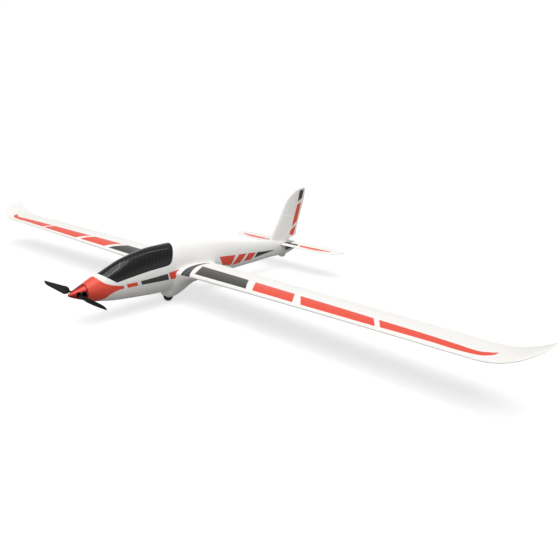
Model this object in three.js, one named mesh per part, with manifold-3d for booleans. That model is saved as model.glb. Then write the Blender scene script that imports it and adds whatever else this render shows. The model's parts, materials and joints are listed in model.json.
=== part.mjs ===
// Radio-controlled electric glider, 2.1 m span, moulded foam with a folding propeller.
// Millimetres. +X is the aircraft's left, +Y is aft, +Z is up. Shapes are laid out from the spinner tip on the
// thrust line. The whole model is then moved, so that the origin is under the middle of the aircraft at the
// lowest point of its wheel.

import * as THREE from 'three';
import { mergeVertices } from 'three/addons/utils/BufferGeometryUtils.js';
import Module from 'manifold-3d';

const wasm = await Module();
wasm.setup();

// ---------------------------------------------------------------- driving dimensions
const LENGTH = 980;
const GAP = 0.3; // left between pieces that meet
const FOAM_WALL = 5;

const WHEEL_RADIUS = 17;
const WHEEL_WIDTH = 12;
const WHEEL_Y = 322;
const WHEEL_Z = -74;

const PANEL_ROOT_X = 75; // the wing panels plug on here
const FLAP_X = [79, 397];
const AILERON_X = [403, 790];
const HINGE_AT = 0.74; // share of the chord ahead of the flap and aileron hinges
const HINGE_CLEARANCE = 0.9;
const ARM_LENGTH = 14; // servo arm and horn radius, the same on every surface
const FLAP_SERVO_X = 300;
const AILERON_SERVO_X = 600;
const JOINER_Y = 372;
const JOINER_RADIUS = 5;
const JOINER_REACH = 260;

const SPINNER_RADIUS = 21.6;
const SPINNER_LENGTH = 44;
const BLADE_PIN = { x: 16, y: 29 };
const BLADE_SET_FORWARD = 10; // the blade lies this far ahead of its pin, so it clears the nose when folded
const BLADE_RAKE = Math.tan(THREE.MathUtils.degToRad(0.8)); // tips forward of the roots
const PROPELLER_TILT = THREE.MathUtils.degToRad(1); // where the blades stopped
const PROPELLER_PITCH = 152;

const STABILIZER_Z = 1;
const STABILIZER_REACH = 245;
const ELEVATOR_HINGE_Y = 888;
const ELEVATOR_HINGE_Z = 1;
const RUDDER_HINGE = { y: 887, z: 22, rake: 0.358 }; // a point on the hinge line and its dy/dz
const RUDDER_HORN_Z = 30;

// Body sections: half width, top, bottom, height of the widest point, squareness above and below it.
const BODY_SECTIONS = [
  { y: 46.5, width: 22.0, top: 22.5, bottom: -22.5, middle: 0, upper: 2.0, lower: 2.0 },
  { y: 62, width: 25.5, top: 30.0, bottom: -28.5, middle: 1, upper: 2.0, lower: 2.0 },
  { y: 80, width: 28.8, top: 37.0, bottom: -32.5, middle: 2, upper: 2.0, lower: 2.1 },
  { y: 100, width: 32.0, top: 43.5, bottom: -36.5, middle: 3, upper: 1.95, lower: 2.2 },
  { y: 125, width: 35.4, top: 54.0, bottom: -41.0, middle: 5, upper: 1.9, lower: 2.2 },
  { y: 153, width: 38.8, top: 65.0, bottom: -44.5, middle: 7, upper: 1.9, lower: 2.2 },
  { y: 199, width: 42.8, top: 76.5, bottom: -48.5, middle: 9, upper: 1.95, lower: 2.2 },
  { y: 246, width: 45.2, top: 84.0, bottom: -52.5, middle: 10, upper: 2.0, lower: 2.2 },
  { y: 294, width: 46.0, top: 86.5, bottom: -55.0, middle: 10, upper: 2.05, lower: 2.1 },
  { y: 345, width: 44.5, top: 86.5, bottom: -54.5, middle: 10, upper: 2.1, lower: 2.0 },
  { y: 385, width: 41.0, top: 83.5, bottom: -53.0, middle: 9, upper: 2.1, lower: 2.0 },
  { y: 423, width: 36.5, top: 79.0, bottom: -50.5, middle: 8, upper: 2.1, lower: 2.0 },
  { y: 483, width: 30.5, top: 71.0, bottom: -46.5, middle: 5, upper: 2.0, lower: 2.0 },
  { y: 546, width: 25.5, top: 61.5, bottom: -44.0, middle: 2, upper: 2.0, lower: 2.0 },
  { y: 638, width: 20.5, top: 46.5, bottom: -42.0, middle: -2, upper: 2.0, lower: 2.0 },
  { y: 712, width: 17.5, top: 35.0, bottom: -40.5, middle: -4, upper: 2.0, lower: 2.0 },
  { y: 786, width: 14.8, top: 25.0, bottom: -38.0, middle: -6, upper: 2.0, lower: 2.0 },
  { y: 842, width: 12.5, top: 17.0, bottom: -40.0, middle: -8, upper: 2.0, lower: 2.0 },
  { y: 880, width: 9.5, top: 11.0, bottom: -40.5, middle: -12, upper: 2.0, lower: 2.0 },
  { y: 927, width: 4.0, top: -18.0, bottom: -30.5, middle: -25, upper: 2.0, lower: 2.0 },
];

// Fin outline: leading and trailing edge and half thickness at each height.
const FIN_SECTIONS = [
  { z: 4, front: 768, back: 932, half: 7.5 },
  { z: 24, front: 783, back: 935, half: 7.0 },
  { z: 56, front: 806, back: 940, half: 6.3 },
  { z: 82, front: 825, back: 949, half: 5.7 },
  { z: 110, front: 842, back: 959, half: 5.1 },
  { z: 140, front: 861, back: 971, half: 4.4 },
  { z: 165, front: 881, back: 977, half: 3.7 },
  { z: 183, front: 908, back: 980, half: 3.0 },
  { z: 193, front: 933, back: 980, half: 2.2 },
  { z: 197, front: 950, back: 978, half: 1.4 },
];
const RUDDER_BALANCE = { front: [840, 110.4], back: [913, 94] }; // split line under the balance horn

// Wing tip outline past the straight part: spanwise place, leading edge, trailing edge, height.
const TIP_SECTIONS = [
  { x: 930, front: 302.0, back: 415.4, z: 23.5 },
  { x: 958, front: 303.5, back: 413.5, z: 26.0 },
  { x: 985, front: 309.0, back: 411.5, z: 32.0 },
  { x: 1006, front: 318.0, back: 410.0, z: 39.5 },
  { x: 1024, front: 332.0, back: 408.0, z: 48.0 },
  { x: 1038, front: 350.0, back: 405.5, z: 56.0 },
  { x: 1046, front: 368.0, back: 403.0, z: 61.0 },
  { x: 1050, front: 384.0, back: 400.5, z: 63.6 },
];

// ---------------------------------------------------------------- materials
const FINISH = {
  foam: { color: 0xf2f0ea, roughness: 0.6, metalness: 0 },
  canopy: { color: 0x15161a, roughness: 0.15, metalness: 0 },
  red: { color: 0xb5281f, roughness: 0.25, metalness: 0.7 },
  plastic: { color: 0x17181b, roughness: 0.5, metalness: 0 },
  rubber: { color: 0x111111, roughness: 0.85, metalness: 0 },
  carbon: { color: 0x1c1d20, roughness: 0.35, metalness: 0.1 },
  steel: { color: 0xb9bcc0, roughness: 0.3, metalness: 0.9 },
  aluminium: { color: 0xc9ccd0, roughness: 0.35, metalness: 0.9 },
  servo: { color: 0x2b3f8f, roughness: 0.4, metalness: 0 },
  battery: { color: 0x2a4c86, roughness: 0.5, metalness: 0 },
  plywood: { color: 0xc9a878, roughness: 0.8, metalness: 0 },
  strap: { color: 0x202020, roughness: 0.9, metalness: 0 },
};

// ---------------------------------------------------------------- solids
function toSolid(geometry) {
  const plain = geometry.clone();
  plain.deleteAttribute('normal');
  plain.deleteAttribute('uv');
  const merged = mergeVertices(plain, 1e-4);
  const vertProperties = new Float32Array(merged.attributes.position.array);
  const triVerts = new Uint32Array(merged.index.array);
  return new wasm.Manifold(new wasm.Mesh({ numProp: 3, vertProperties, triVerts }));
}

function toGeometry(solid) {
  const mesh = solid.getMesh();
  const geometry = new THREE.BufferGeometry();
  geometry.setAttribute('position', new THREE.BufferAttribute(mesh.vertProperties, 3));
  geometry.setIndex(new THREE.BufferAttribute(mesh.triVerts, 1));
  geometry.computeVertexNormals();
  return geometry;
}

function join(...parts) {
  return toGeometry(parts.map(toSolid).reduce((sum, part) => sum.add(part)));
}

function cut(base, ...tools) {
  return toGeometry(tools.map(toSolid).reduce((rest, tool) => rest.subtract(tool), toSolid(base)));
}

function common(first, second) {
  return toGeometry(toSolid(first).intersect(toSolid(second)));
}

function mirrorX(geometry) {
  const mirrored = join(geometry);
  mirrored.scale(-1, 1, 1);
  mirrored.setIndex(Array.from(mirrored.index.array).reverse());
  mirrored.computeVertexNormals();
  return mirrored;
}

function signedVolume(positions, index) {
  const corner = [new THREE.Vector3(), new THREE.Vector3(), new THREE.Vector3()];
  let total = 0;
  for (let i = 0; i < index.length; i += 3) {
    corner.forEach((point, k) => point.fromArray(positions, 3 * index[i + k]));
    total += corner[0].dot(corner[1].cross(corner[2])) / 6;
  }
  return total;
}

// Joins equal rings of points into one closed skin, with a fan over each end.
function loft(rings) {
  const count = rings[0].length;
  const positions = rings.flat().flatMap((point) => point.toArray());
  const index = [];
  for (let i = 0; i + 1 < rings.length; i += 1) {
    for (let j = 0; j < count; j += 1) {
      const a = i * count + j;
      const b = i * count + ((j + 1) % count);
      index.push(a, b, a + count, b, b + count, a + count);
    }
  }
  [0, rings.length - 1].forEach((end) => {
    const middle = new THREE.Vector3();
    rings[end].forEach((point) => middle.addScaledVector(point, 1 / count));
    const centre = positions.length / 3;
    positions.push(...middle.toArray());
    for (let j = 0; j < count; j += 1) {
      const a = end * count + j;
      const b = end * count + ((j + 1) % count);
      index.push(...(end ? [centre, a, b] : [centre, b, a]));
    }
  });
  if (signedVolume(positions, index) < 0) {
    index.reverse();
  }
  const geometry = new THREE.BufferGeometry();
  geometry.setAttribute('position', new THREE.Float32BufferAttribute(positions, 3));
  geometry.setIndex(index);
  return geometry;
}

function box(x, y, z) {
  const size = [x, y, z].map(([low, high]) => high - low);
  const middle = [x, y, z].map(([low, high]) => (low + high) / 2);
  return new THREE.BoxGeometry(...size).translate(...middle);
}

// A round rod from one point to another; its radius may change along it.
function rod(from, to, radius, { endRadius = radius, sides = 12 } = {}) {
  const start = new THREE.Vector3(...from);
  const way = new THREE.Vector3(...to).sub(start);
  const along = new THREE.Quaternion();
  along.setFromUnitVectors(new THREE.Vector3(0, 1, 0), way.clone().normalize());
  const geometry = new THREE.CylinderGeometry(endRadius, radius, way.length(), sides);
  geometry.translate(0, way.length() / 2, 0);
  return geometry.applyQuaternion(along).translate(...start.toArray());
}

// A round piece turned about the thrust line from (radius, Y) points.
function turned(profile, sides) {
  const points = profile.map(([radius, y]) => new THREE.Vector2(radius, y));
  return new THREE.LatheGeometry(points, sides);
}

function closed(profile) {
  return [...profile, profile[0]];
}

function outline(points) {
  return new THREE.Shape(points.map(([u, v]) => new THREE.Vector2(u, v)));
}

function extrude(shape, depth) {
  return new THREE.ExtrudeGeometry(shape, { depth, bevelEnabled: false, curveSegments: 4 });
}

// Extrudes a shape drawn in the side view (Y, Z) from one X to another.
function sidePrism(shape, fromX, toX) {
  const toSide = new THREE.Matrix4().makeBasis(
    new THREE.Vector3(0, 1, 0),
    new THREE.Vector3(0, 0, 1),
    new THREE.Vector3(1, 0, 0),
  );
  return extrude(shape, toX - fromX).applyMatrix4(toSide).translate(fromX, 0, 0);
}

// Extrudes a shape drawn in plan (X, Y) from one height to another.
function planPrism(shape, fromZ, toZ) {
  return extrude(shape, toZ - fromZ).translate(0, 0, fromZ);
}

// ---------------------------------------------------------------- curves
// A smooth curve through one field of a section list, by its first field.
function through(sections, place, field) {
  const places = sections.map((section) => section[place]);
  const values = sections.map((section) => section[field]);
  const curve = new THREE.CubicInterpolant(places, values, 1);
  return (at) => curve.evaluate(THREE.MathUtils.clamp(at, places[0], places[places.length - 1]))[0];
}

const BODY = Object.fromEntries(
  ['width', 'top', 'bottom', 'middle', 'upper', 'lower'].map((field) => [
    field,
    through(BODY_SECTIONS, 'y', field),
  ]),
);

// ---------------------------------------------------------------- body shape
function bodyRing(y, inset, points) {
  const ring = [];
  for (let i = 0; i < points; i += 1) {
    const angle = (2 * Math.PI * i) / points;
    const up = Math.sin(angle) >= 0;
    const power = 2 / (up ? BODY.upper(y) : BODY.lower(y));
    const across = Math.sign(Math.cos(angle)) * Math.abs(Math.cos(angle)) ** power;
    const rise = Math.abs(Math.sin(angle)) ** power;
    const reach = up ? BODY.top(y) - BODY.middle(y) : BODY.bottom(y) - BODY.middle(y);
    const height = reach - Math.sign(reach) * inset;
    ring.push(new THREE.Vector3((BODY.width(y) - inset) * across, y, BODY.middle(y) + height * rise));
  }
  return ring;
}

function bodyShape(stations, inset, points) {
  return loft(stations.map((y) => bodyRing(y, inset, points)));
}

// A share of the chord to half thickness and camber height, for a wing section of unit chord.
function halfThickness(u, thickness) {
  const root = 0.2969 * Math.sqrt(u);
  const rest = -0.126 * u - 0.3516 * u ** 2 + 0.2843 * u ** 3 - 0.1036 * u ** 4;
  return 5 * thickness * (root + rest);
}

function camberHeight(u, camber) {
  const peak = 0.4;
  if (u < peak) {
    return (camber / peak ** 2) * (2 * peak * u - u ** 2);
  }
  return (camber / (1 - peak) ** 2) * (1 - 2 * peak + 2 * peak * u - u ** 2);
}

// Chord shares from the trailing edge round the nose and back, closer together at both ends.
function chordWalk(steps) {
  const walk = [];
  for (let i = 0; i <= 2 * steps; i += 1) {
    const angle = (Math.PI * i) / steps;
    walk.push({ u: (1 + Math.cos(angle)) / 2, side: i < steps ? 1 : -1 });
  }
  return walk;
}

// ---------------------------------------------------------------- wing shape
const WING_CAMBER = 0.03;
const FILLET_REACH = 135; // the belly fairing runs out under the wing to here
const FILLET_DEPTH = 89;
const KEEL_DEPTH = 75;
const FILLET_CHORD = 0.7;
const EDGE = 0.5; // half thickness of the trailing edge

const TIP = Object.fromEntries(
  ['front', 'back', 'z'].map((field) => [field, through(TIP_SECTIONS, 'x', field)]),
);
const TIP_START = TIP_SECTIONS[0].x;

function wingFront(x) {
  if (x > TIP_START) {
    return TIP.front(x);
  }
  const flare = x < 130 ? 40 * (1 - x / 130) ** 3 : 0;
  return 325.3 - 0.025 * x - flare;
}

function wingBack(x) {
  return x > TIP_START ? TIP.back(x) : 483.3 - 0.073 * x;
}

function wingHeight(x) {
  return x > TIP_START ? TIP.z(x) : 1.1 + 0.033 * x - 9.6e-6 * x * x;
}

function wingThickness(x) {
  return THREE.MathUtils.lerp(0.125, 0.095, x / TIP_START);
}

function filletDepth(x, u) {
  if (x >= FILLET_REACH || u >= FILLET_CHORD) {
    return 0;
  }
  const depth = Math.min(KEEL_DEPTH, FILLET_DEPTH * (1 - x / FILLET_REACH) ** 2);
  return depth * (1 - Math.abs(2 * Math.sqrt(u / FILLET_CHORD) - 1) ** 2.6);
}

// Height of the wing's skin at a share of the chord; side is 1 above and -1 below.
function wingSkin(x, u, side) {
  const chord = wingBack(x) - wingFront(x);
  const half = Math.max(halfThickness(u, wingThickness(x)) * chord, u > 0.5 ? EDGE : 0);
  const height = wingHeight(x) + camberHeight(u, WING_CAMBER) * chord + side * half;
  return side < 0 ? height - filletDepth(x, u) : height;
}

function wingRing(x) {
  const out = Math.abs(x);
  const chord = wingBack(out) - wingFront(out);
  return chordWalk(7).map(({ u, side }) => {
    return new THREE.Vector3(x, wingFront(out) + u * chord, wingSkin(out, u, side));
  });
}

function hingePoint(x) {
  const chord = wingBack(x) - wingFront(x);
  const height = wingHeight(x) + camberHeight(HINGE_AT, WING_CAMBER) * chord;
  return new THREE.Vector3(x, wingFront(x) + HINGE_AT * chord, height);
}

function hingeRadius(x) {
  const chord = wingBack(x) - wingFront(x);
  return halfThickness(HINGE_AT, wingThickness(x)) * chord - 0.15;
}

// ---------------------------------------------------------------- the model
const glider = new THREE.Group();
const propeller = new THREE.Group();

// The origin is under the middle of the length, at the wheel's lowest point.
glider.position.set(0, -LENGTH / 2, WHEEL_RADIUS - WHEEL_Z);
propeller.rotation.y = PROPELLER_TILT;
glider.add(propeller);

function add(name, geometry, finish, parent = glider) {
  const mesh = new THREE.Mesh(geometry, new THREE.MeshStandardMaterial(FINISH[finish]));
  mesh.name = name;
  parent.add(mesh);
  return mesh;
}

// Notes the line that a piece turns about: a point on it and its direction.
function turnsAbout(mesh, point, axis) {
  mesh.userData.turnsAbout = { point: [...point], axis: [...axis] };
}

// ---------------------------------------------------------------- linkages
// A servo, its arm, a pushrod and a horn, in a frame whose origin is the arm's pivot, whose X is the hinge
// direction and whose Z points away from the arm. The arm and the horn are equal and parallel.
const ROD_RADIUS = 0.9;
const EYE_RADIUS = ROD_RADIUS + GAP + 0.05;
const ARM_HALF = 0.8; // half thickness of arms and horns
const ROD_ASIDE = ARM_HALF + ROD_RADIUS + GAP;

const SLIM_SERVO = { half: 4.5, depth: 20, front: -6, back: 16.5 };
const CABIN_SERVO = { half: 6, depth: 23, front: -6, back: 17 };

function linkFrame(pivot, axis, up) {
  const x = axis.clone().normalize();
  const y = up.clone().cross(x).normalize();
  const z = x.clone().cross(y);
  return new THREE.Matrix4().makeBasis(x, y, z).setPosition(pivot);
}

function servoBody({ half, depth, front, back }) {
  const top = -ARM_HALF - 1;
  const earY = 4.5;
  const body = box([top - depth, top], [front, back], [-half, half]);
  const ears = box([top - 7, top - 4.8], [front - earY, back + earY], [-half, half]);
  const boss = rod([top - 1, 0, 0], [top + 0.7, 0, 0], 2.8);
  return join(body, ears, boss);
}

function servoPocket({ half, depth, front, back }) {
  return box([-depth - 2.5, 3.8], [front - 5, back + 5], [-half - 12, half + GAP]);
}

function armOutline() {
  const hub = 3.2;
  const end = 2.4;
  const shape = new THREE.Shape();
  shape.absarc(0, 0, hub, 0, Math.PI, false);
  shape.lineTo(-end, -ARM_LENGTH);
  shape.absarc(0, -ARM_LENGTH, end, Math.PI, 2 * Math.PI, false);
  shape.holes.push(new THREE.Path().absarc(0, -ARM_LENGTH, EYE_RADIUS, 0, 2 * Math.PI, true));
  return shape;
}

// The horn hangs from a sloping skin, given by its height at the front and back of the horn's foot.
const FOOT = { front: 4, back: 15, thickness: 1.2 };

function hornShape(at, skin) {
  const end = 2.4;
  const low = at.z - ARM_LENGTH;
  const plate = new THREE.Shape();
  plate.absarc(at.y, low, end, Math.PI, 2 * Math.PI, false);
  plate.lineTo(at.y + FOOT.back, skin.back - GAP - 0.4);
  plate.lineTo(at.y + FOOT.front, skin.front - GAP - 0.4);
  plate.holes.push(new THREE.Path().absarc(at.y, low, EYE_RADIUS, 0, 2 * Math.PI, true));
  const foot = outline([
    [at.y + FOOT.front, skin.front - GAP],
    [at.y + FOOT.front, skin.front - GAP - FOOT.thickness],
    [at.y + FOOT.back, skin.back - GAP - FOOT.thickness],
    [at.y + FOOT.back, skin.back - GAP],
  ]);
  return join(
    sidePrism(plate, at.x - ARM_HALF, at.x + ARM_HALF),
    sidePrism(foot, at.x - 3.5, at.x + 3.5),
  );
}

// The ends of a pushrod, which runs beside the arm and the horn; sides says beside which face of each.
function pushrodEnds(at, sides) {
  return [
    new THREE.Vector3(sides[0] * ROD_ASIDE, 0, -ARM_LENGTH),
    new THREE.Vector3(at.x + sides[1] * ROD_ASIDE, at.y, at.z - ARM_LENGTH),
  ];
}

// A straight wire with a short bend through each eye.
function pushrodShape(ends, sides) {
  const bends = ends.map((end, i) => {
    const reach = sides[i] * (ROD_ASIDE + ARM_HALF + 0.6);
    return rod(end, end.clone().setX(end.x - reach), ROD_RADIUS, { sides: 6 });
  });
  return join(rod(...ends, ROD_RADIUS, { sides: 6 }), ...bends);
}

// Makes one linkage and returns its pieces, in the aircraft's frame.
function linkage({ pivot, hinge, axis, up, servo, skin, servoBeyond = false, rodSides = [1, 1] }) {
  const frame = linkFrame(pivot, axis, up);
  const at = hinge.clone().applyMatrix4(frame.clone().invert());
  const ends = pushrodEnds(at, rodSides);
  const body = servoBody(servo);
  const pieces = {
    servo: servoBeyond ? mirrorX(body) : body,
    arm: sidePrism(armOutline(), -ARM_HALF, ARM_HALF),
    pushrod: pushrodShape(ends, rodSides),
    horn: hornShape(at, skin(at, frame)),
    pocket: servoPocket(servo),
  };
  Object.values(pieces).forEach((piece) => piece.applyMatrix4(frame));
  const tip = new THREE.Vector3(0, 0, -ARM_LENGTH).applyMatrix4(frame);
  ends.forEach((end) => end.applyMatrix4(frame));
  return { ...pieces, ends, pivot, tip, axis: axis.clone().normalize() };
}

function addLinkage(name, link, servoName) {
  add(servoName, link.servo, 'servo');
  add(`${name}_horn`, link.horn, 'plastic');
  turnsAbout(add(`${name}_servo_arm`, link.arm, 'plastic'), link.pivot, link.axis);
  turnsAbout(add(`${name}_pushrod`, link.pushrod, 'steel'), link.tip, link.axis);
}

function mirrorLinkage(link) {
  const mirrored = { ...link };
  ['servo', 'arm', 'pushrod', 'horn', 'pocket'].forEach((piece) => {
    mirrored[piece] = mirrorX(link[piece]);
  });
  ['pivot', 'tip'].forEach((point) => {
    mirrored[point] = link[point].clone().setX(-link[point].x);
  });
  mirrored.axis = new THREE.Vector3(link.axis.x, -link.axis.y, -link.axis.z);
  return mirrored;
}

// ---------------------------------------------------------------- wing panels
function surfaceRoom([fromX, toX], clearance) {
  const from = hingePoint(fromX);
  const to = hingePoint(toX);
  const ahead = (x) => (clearance ? hingeRadius(x) + clearance : 0);
  const plan = outline([
    [fromX - clearance, from.y - ahead(fromX)],
    [toX + clearance, to.y - ahead(toX)],
    [toX + clearance, to.y + 80],
    [fromX - clearance, from.y + 80],
  ]);
  return planPrism(plan, -80, 120);
}

function hingedSurface(wing, [fromX, toX]) {
  const from = hingePoint(fromX + 0.4);
  const to = hingePoint(toX - 0.4);
  const nose = rod(from, to, hingeRadius(fromX), { endRadius: hingeRadius(toX) });
  return join(common(wing, surfaceRoom([fromX, toX], 0)), nose);
}

function hingeAxis([fromX, toX]) {
  return hingePoint(toX).sub(hingePoint(fromX)).normalize();
}

function wingLinkage(span, x) {
  const axis = hingeAxis(span);
  const chord = wingBack(x) - wingFront(x);
  const pivot = new THREE.Vector3(x, wingFront(x) + 0.4 * chord, wingHeight(x) + 0.8);
  const start = hingePoint(span[0]);
  const hinge = start.addScaledVector(axis, pivot.clone().sub(start).dot(axis));
  const skin = (at, frame) => {
    const height = (offset) => {
      const u = (hinge.y + offset - wingFront(x)) / chord;
      const point = new THREE.Vector3(x, hinge.y + offset, wingSkin(x, u, -1));
      return point.applyMatrix4(frame.clone().invert()).z;
    };
    return { front: height(FOOT.front), back: height(FOOT.back) };
  };
  return linkage({ pivot, hinge, axis, up: new THREE.Vector3(0, 0, 1), servo: SLIM_SERVO, skin });
}

function joinerPoint(x) {
  return [x, JOINER_Y, wingHeight(Math.abs(x)) + 4];
}

function joinerSolid(radius, reach) {
  const knee = new THREE.SphereGeometry(radius, 10, 6).translate(...joinerPoint(0));
  const left = rod(joinerPoint(0), joinerPoint(reach), radius, { sides: 10 });
  const right = rod(joinerPoint(0), joinerPoint(-reach), radius, { sides: 10 });
  return join(knee, left, right);
}

const WING_SCREW = { x: 95, radius: 1.5, headRadius: 3.2, headHeight: 2.2 };

// The screw, or with some clearance the hole for it, up from the wing's lower skin into the joiner.
function wingScrew(side, clearance) {
  const { x, radius, headRadius, headHeight } = WING_SCREW;
  const u = (JOINER_Y - wingFront(x)) / (wingBack(x) - wingFront(x));
  const skin = wingSkin(x, u, -1);
  const top = joinerPoint(x)[2] + 1 + clearance;
  const at = (z) => [side * x, JOINER_Y, z];
  return join(
    rod(at(skin + 1), at(top), radius + clearance),
    rod(at(skin + (clearance ? -12 : 0.4)), at(skin + 0.4 + headHeight + clearance), headRadius + clearance),
  );
}

function addWing() {
  const stations = [PANEL_ROOT_X + GAP, 90, 105, 120, 135, 260, 400, 540, 680, 810];
  const wing = loft([...stations, ...TIP_SECTIONS.map((section) => section.x)].map(wingRing));
  const flapLink = wingLinkage(FLAP_X, FLAP_SERVO_X);
  const aileronLink = wingLinkage(AILERON_X, AILERON_SERVO_X);
  const panel = cut(
    wing,
    surfaceRoom(FLAP_X, HINGE_CLEARANCE),
    surfaceRoom(AILERON_X, HINGE_CLEARANCE),
    flapLink.pocket,
    aileronLink.pocket,
    joinerSolid(JOINER_RADIUS + GAP, JOINER_REACH + 2),
    wingScrew(1, GAP),
  );
  const flap = hingedSurface(wing, FLAP_X);
  const aileron = hingedSurface(wing, AILERON_X);

  add('wing_left', panel, 'foam');
  add('wing_right', mirrorX(panel), 'foam');
  [
    ['flap', flap, FLAP_X, flapLink],
    ['aileron', aileron, AILERON_X, aileronLink],
  ].forEach(([name, surface, span, link]) => {
    const point = hingePoint(span[0]);
    const axis = hingeAxis(span);
    turnsAbout(add(`${name}_left`, surface, 'foam'), point, axis);
    const mirroredPoint = [-point.x, point.y, point.z];
    turnsAbout(add(`${name}_right`, mirrorX(surface), 'foam'), mirroredPoint, [axis.x, -axis.y, -axis.z]);
    addLinkage(`${name}_left`, link, `${name}_servo_left`);
    addLinkage(`${name}_right`, mirrorLinkage(link), `${name}_servo_right`);
  });

  const tube = cut(
    joinerSolid(JOINER_RADIUS, JOINER_REACH),
    joinerSolid(JOINER_RADIUS - 1.2, JOINER_REACH + 5),
    wingScrew(1, GAP),
    wingScrew(-1, GAP),
  );
  add('wing_joiner_tube', tube, 'carbon');
  add('wing_screw_left', wingScrew(1, 0), 'steel');
  add('wing_screw_right', wingScrew(-1, 0), 'steel');
}

// ---------------------------------------------------------------- fin and rudder
const FIN_CAP = FIN_SECTIONS[FIN_SECTIONS.length - 1].z + 20;

function finRing({ z, front, back, half }) {
  const chord = back - front;
  return chordWalk(7).map(({ u, side }) => {
    const thick = Math.max(halfThickness(u, (2 * half) / chord) * chord, u > 0.5 ? EDGE : 0);
    return new THREE.Vector3(side * thick, front + u * chord, z);
  });
}

function rudderHingeY(z) {
  return RUDDER_HINGE.y + RUDDER_HINGE.rake * (z - RUDDER_HINGE.z);
}

function rudderRadius(z) {
  return THREE.MathUtils.mapLinear(z, 14, 93, 4.2, 3.4);
}

// The rudder's side view, or with some clearance the room that the fin leaves for it.
function rudderOutline(clearance) {
  const { front, back } = RUDDER_BALANCE;
  const ahead = clearance ? rudderRadius(14) + clearance : 0;
  const lowest = clearance ? -5 : 12.5;
  const slope = (back[1] - front[1]) / (back[0] - front[0]);
  return outline([
    [rudderHingeY(lowest) - ahead, lowest],
    [1000, clearance ? lowest : 34.6],
    [1000, FIN_CAP],
    [front[0] - 40, FIN_CAP],
    [front[0] - 40, front[1] - 40 * slope - clearance],
    [back[0] - ahead, back[1] - ahead * slope - clearance],
  ]);
}

function rudderShape(fin) {
  const hinge = (z) => [0, rudderHingeY(z), z];
  const nose = rod(hinge(14), hinge(93), rudderRadius(14), { endRadius: rudderRadius(93) });
  return join(common(fin, sidePrism(rudderOutline(0), -30, 30)), nose);
}

// ---------------------------------------------------------------- stabilizer and elevator
function tailFront(x) {
  const out = Math.abs(x) / STABILIZER_REACH;
  return 835 + 12 * out ** 2 + 26 * out ** 14;
}

function tailBack(x) {
  const out = Math.abs(x) / STABILIZER_REACH;
  return 925 - 5 * out ** 2 - 16 * out ** 18;
}

function tailRing(x) {
  const chord = tailBack(x) - tailFront(x);
  const thickness = THREE.MathUtils.lerp(0.09, 0.075, Math.abs(x) / STABILIZER_REACH);
  return chordWalk(6).map(({ u, side }) => {
    const half = Math.max(halfThickness(u, thickness) * chord, u > 0.5 ? EDGE : 0);
    return new THREE.Vector3(x, tailFront(x) + u * chord, STABILIZER_Z + side * half);
  });
}

const ELEVATOR_REACH = 236;
const ELEVATOR_CLEARANCE = 0.8;
const ELEVATOR_RADIUS = { root: 2.9, tip: 2.1 };

function addStabilizer() {
  const out = [0, 60, 130, 180, 210, 225, 235, 241, 245];
  const stations = [...out.slice(1).reverse().map((x) => -x), ...out];
  const tail = loft(stations.map(tailRing));
  const reach = ELEVATOR_REACH + ELEVATOR_CLEARANCE;
  const front = ELEVATOR_HINGE_Y - ELEVATOR_RADIUS.root - ELEVATOR_CLEARANCE;
  add('stabilizer', cut(tail, box([-reach, reach], [front, 960], [-20, 20])), 'foam');

  const behind = box([-ELEVATOR_REACH, ELEVATOR_REACH], [ELEVATOR_HINGE_Y, 960], [-20, 20]);
  const hinge = (x) => [x, ELEVATOR_HINGE_Y, ELEVATOR_HINGE_Z];
  const noses = [-1, 1].map((side) => {
    const end = { endRadius: ELEVATOR_RADIUS.tip };
    return rod(hinge(0), hinge(side * ELEVATOR_REACH), ELEVATOR_RADIUS.root, end);
  });
  const elevator = add('elevator', join(common(tail, behind), ...noses), 'foam');
  turnsAbout(elevator, hinge(0), [1, 0, 0]);
}

const ELEVATOR_LINK = linkage({
  pivot: new THREE.Vector3(10, 400, -4),
  hinge: new THREE.Vector3(5, ELEVATOR_HINGE_Y, ELEVATOR_HINGE_Z),
  axis: new THREE.Vector3(1, 0, 0),
  up: new THREE.Vector3(0, 0, 1),
  servo: CABIN_SERVO,
  skin: (at) => ({ front: at.z - 2.8, back: at.z - 1.9 }),
});

const RUDDER_LINK = linkage({
  pivot: new THREE.Vector3(6, 440, 14),
  hinge: new THREE.Vector3(0, rudderHingeY(RUDDER_HORN_Z), RUDDER_HORN_Z),
  axis: new THREE.Vector3(0, -RUDDER_HINGE.rake, -1),
  up: new THREE.Vector3(1, 0, 0),
  servo: CABIN_SERVO,
  servoBeyond: true,
  rodSides: [-1, 1],
  skin: (at) => ({ front: at.z - 4.1, back: at.z - 2.9 }),
});

// ---------------------------------------------------------------- body
const SKIN_STATIONS = [
  46.5, 56, 68, 82, 98, 114, 132, 153, 180, 210, 246, 285, 325, 360, 392, 423, 455, 500, 546, 592,
  638, 690, 740, 786, 820, 850, 880, 905, 927,
];
const CAVITY_STATIONS = [40, 60, 80, 100, 130, 165, 210, 280, 345, 400, 460, 546, 638, 740, 836];
const SKIN_POINTS = 20;
const CAVITY_POINTS = 12;
const CANOPY_WALL = 3;

// The hatch line in side view: sloping front, long sill, rounded rear corner, leaning back edge.
function canopyOutline(inset) {
  const shape = new THREE.Shape();
  shape.moveTo(58 + inset, 64);
  shape.lineTo(122 + inset, 17.5 + inset);
  shape.quadraticCurveTo(124 + inset, 15.5 + inset, 128, 16.5 + inset);
  shape.splineThru([
    new THREE.Vector2(167, 22.5 + inset),
    new THREE.Vector2(215, 28.5 + inset),
    new THREE.Vector2(288, 33 + inset),
  ]);
  shape.quadraticCurveTo(303 - inset, 35 + inset, 311 - inset, 55);
  shape.lineTo(340 - inset, 110);
  shape.lineTo(58 + inset, 110);
  return shape;
}

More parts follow.
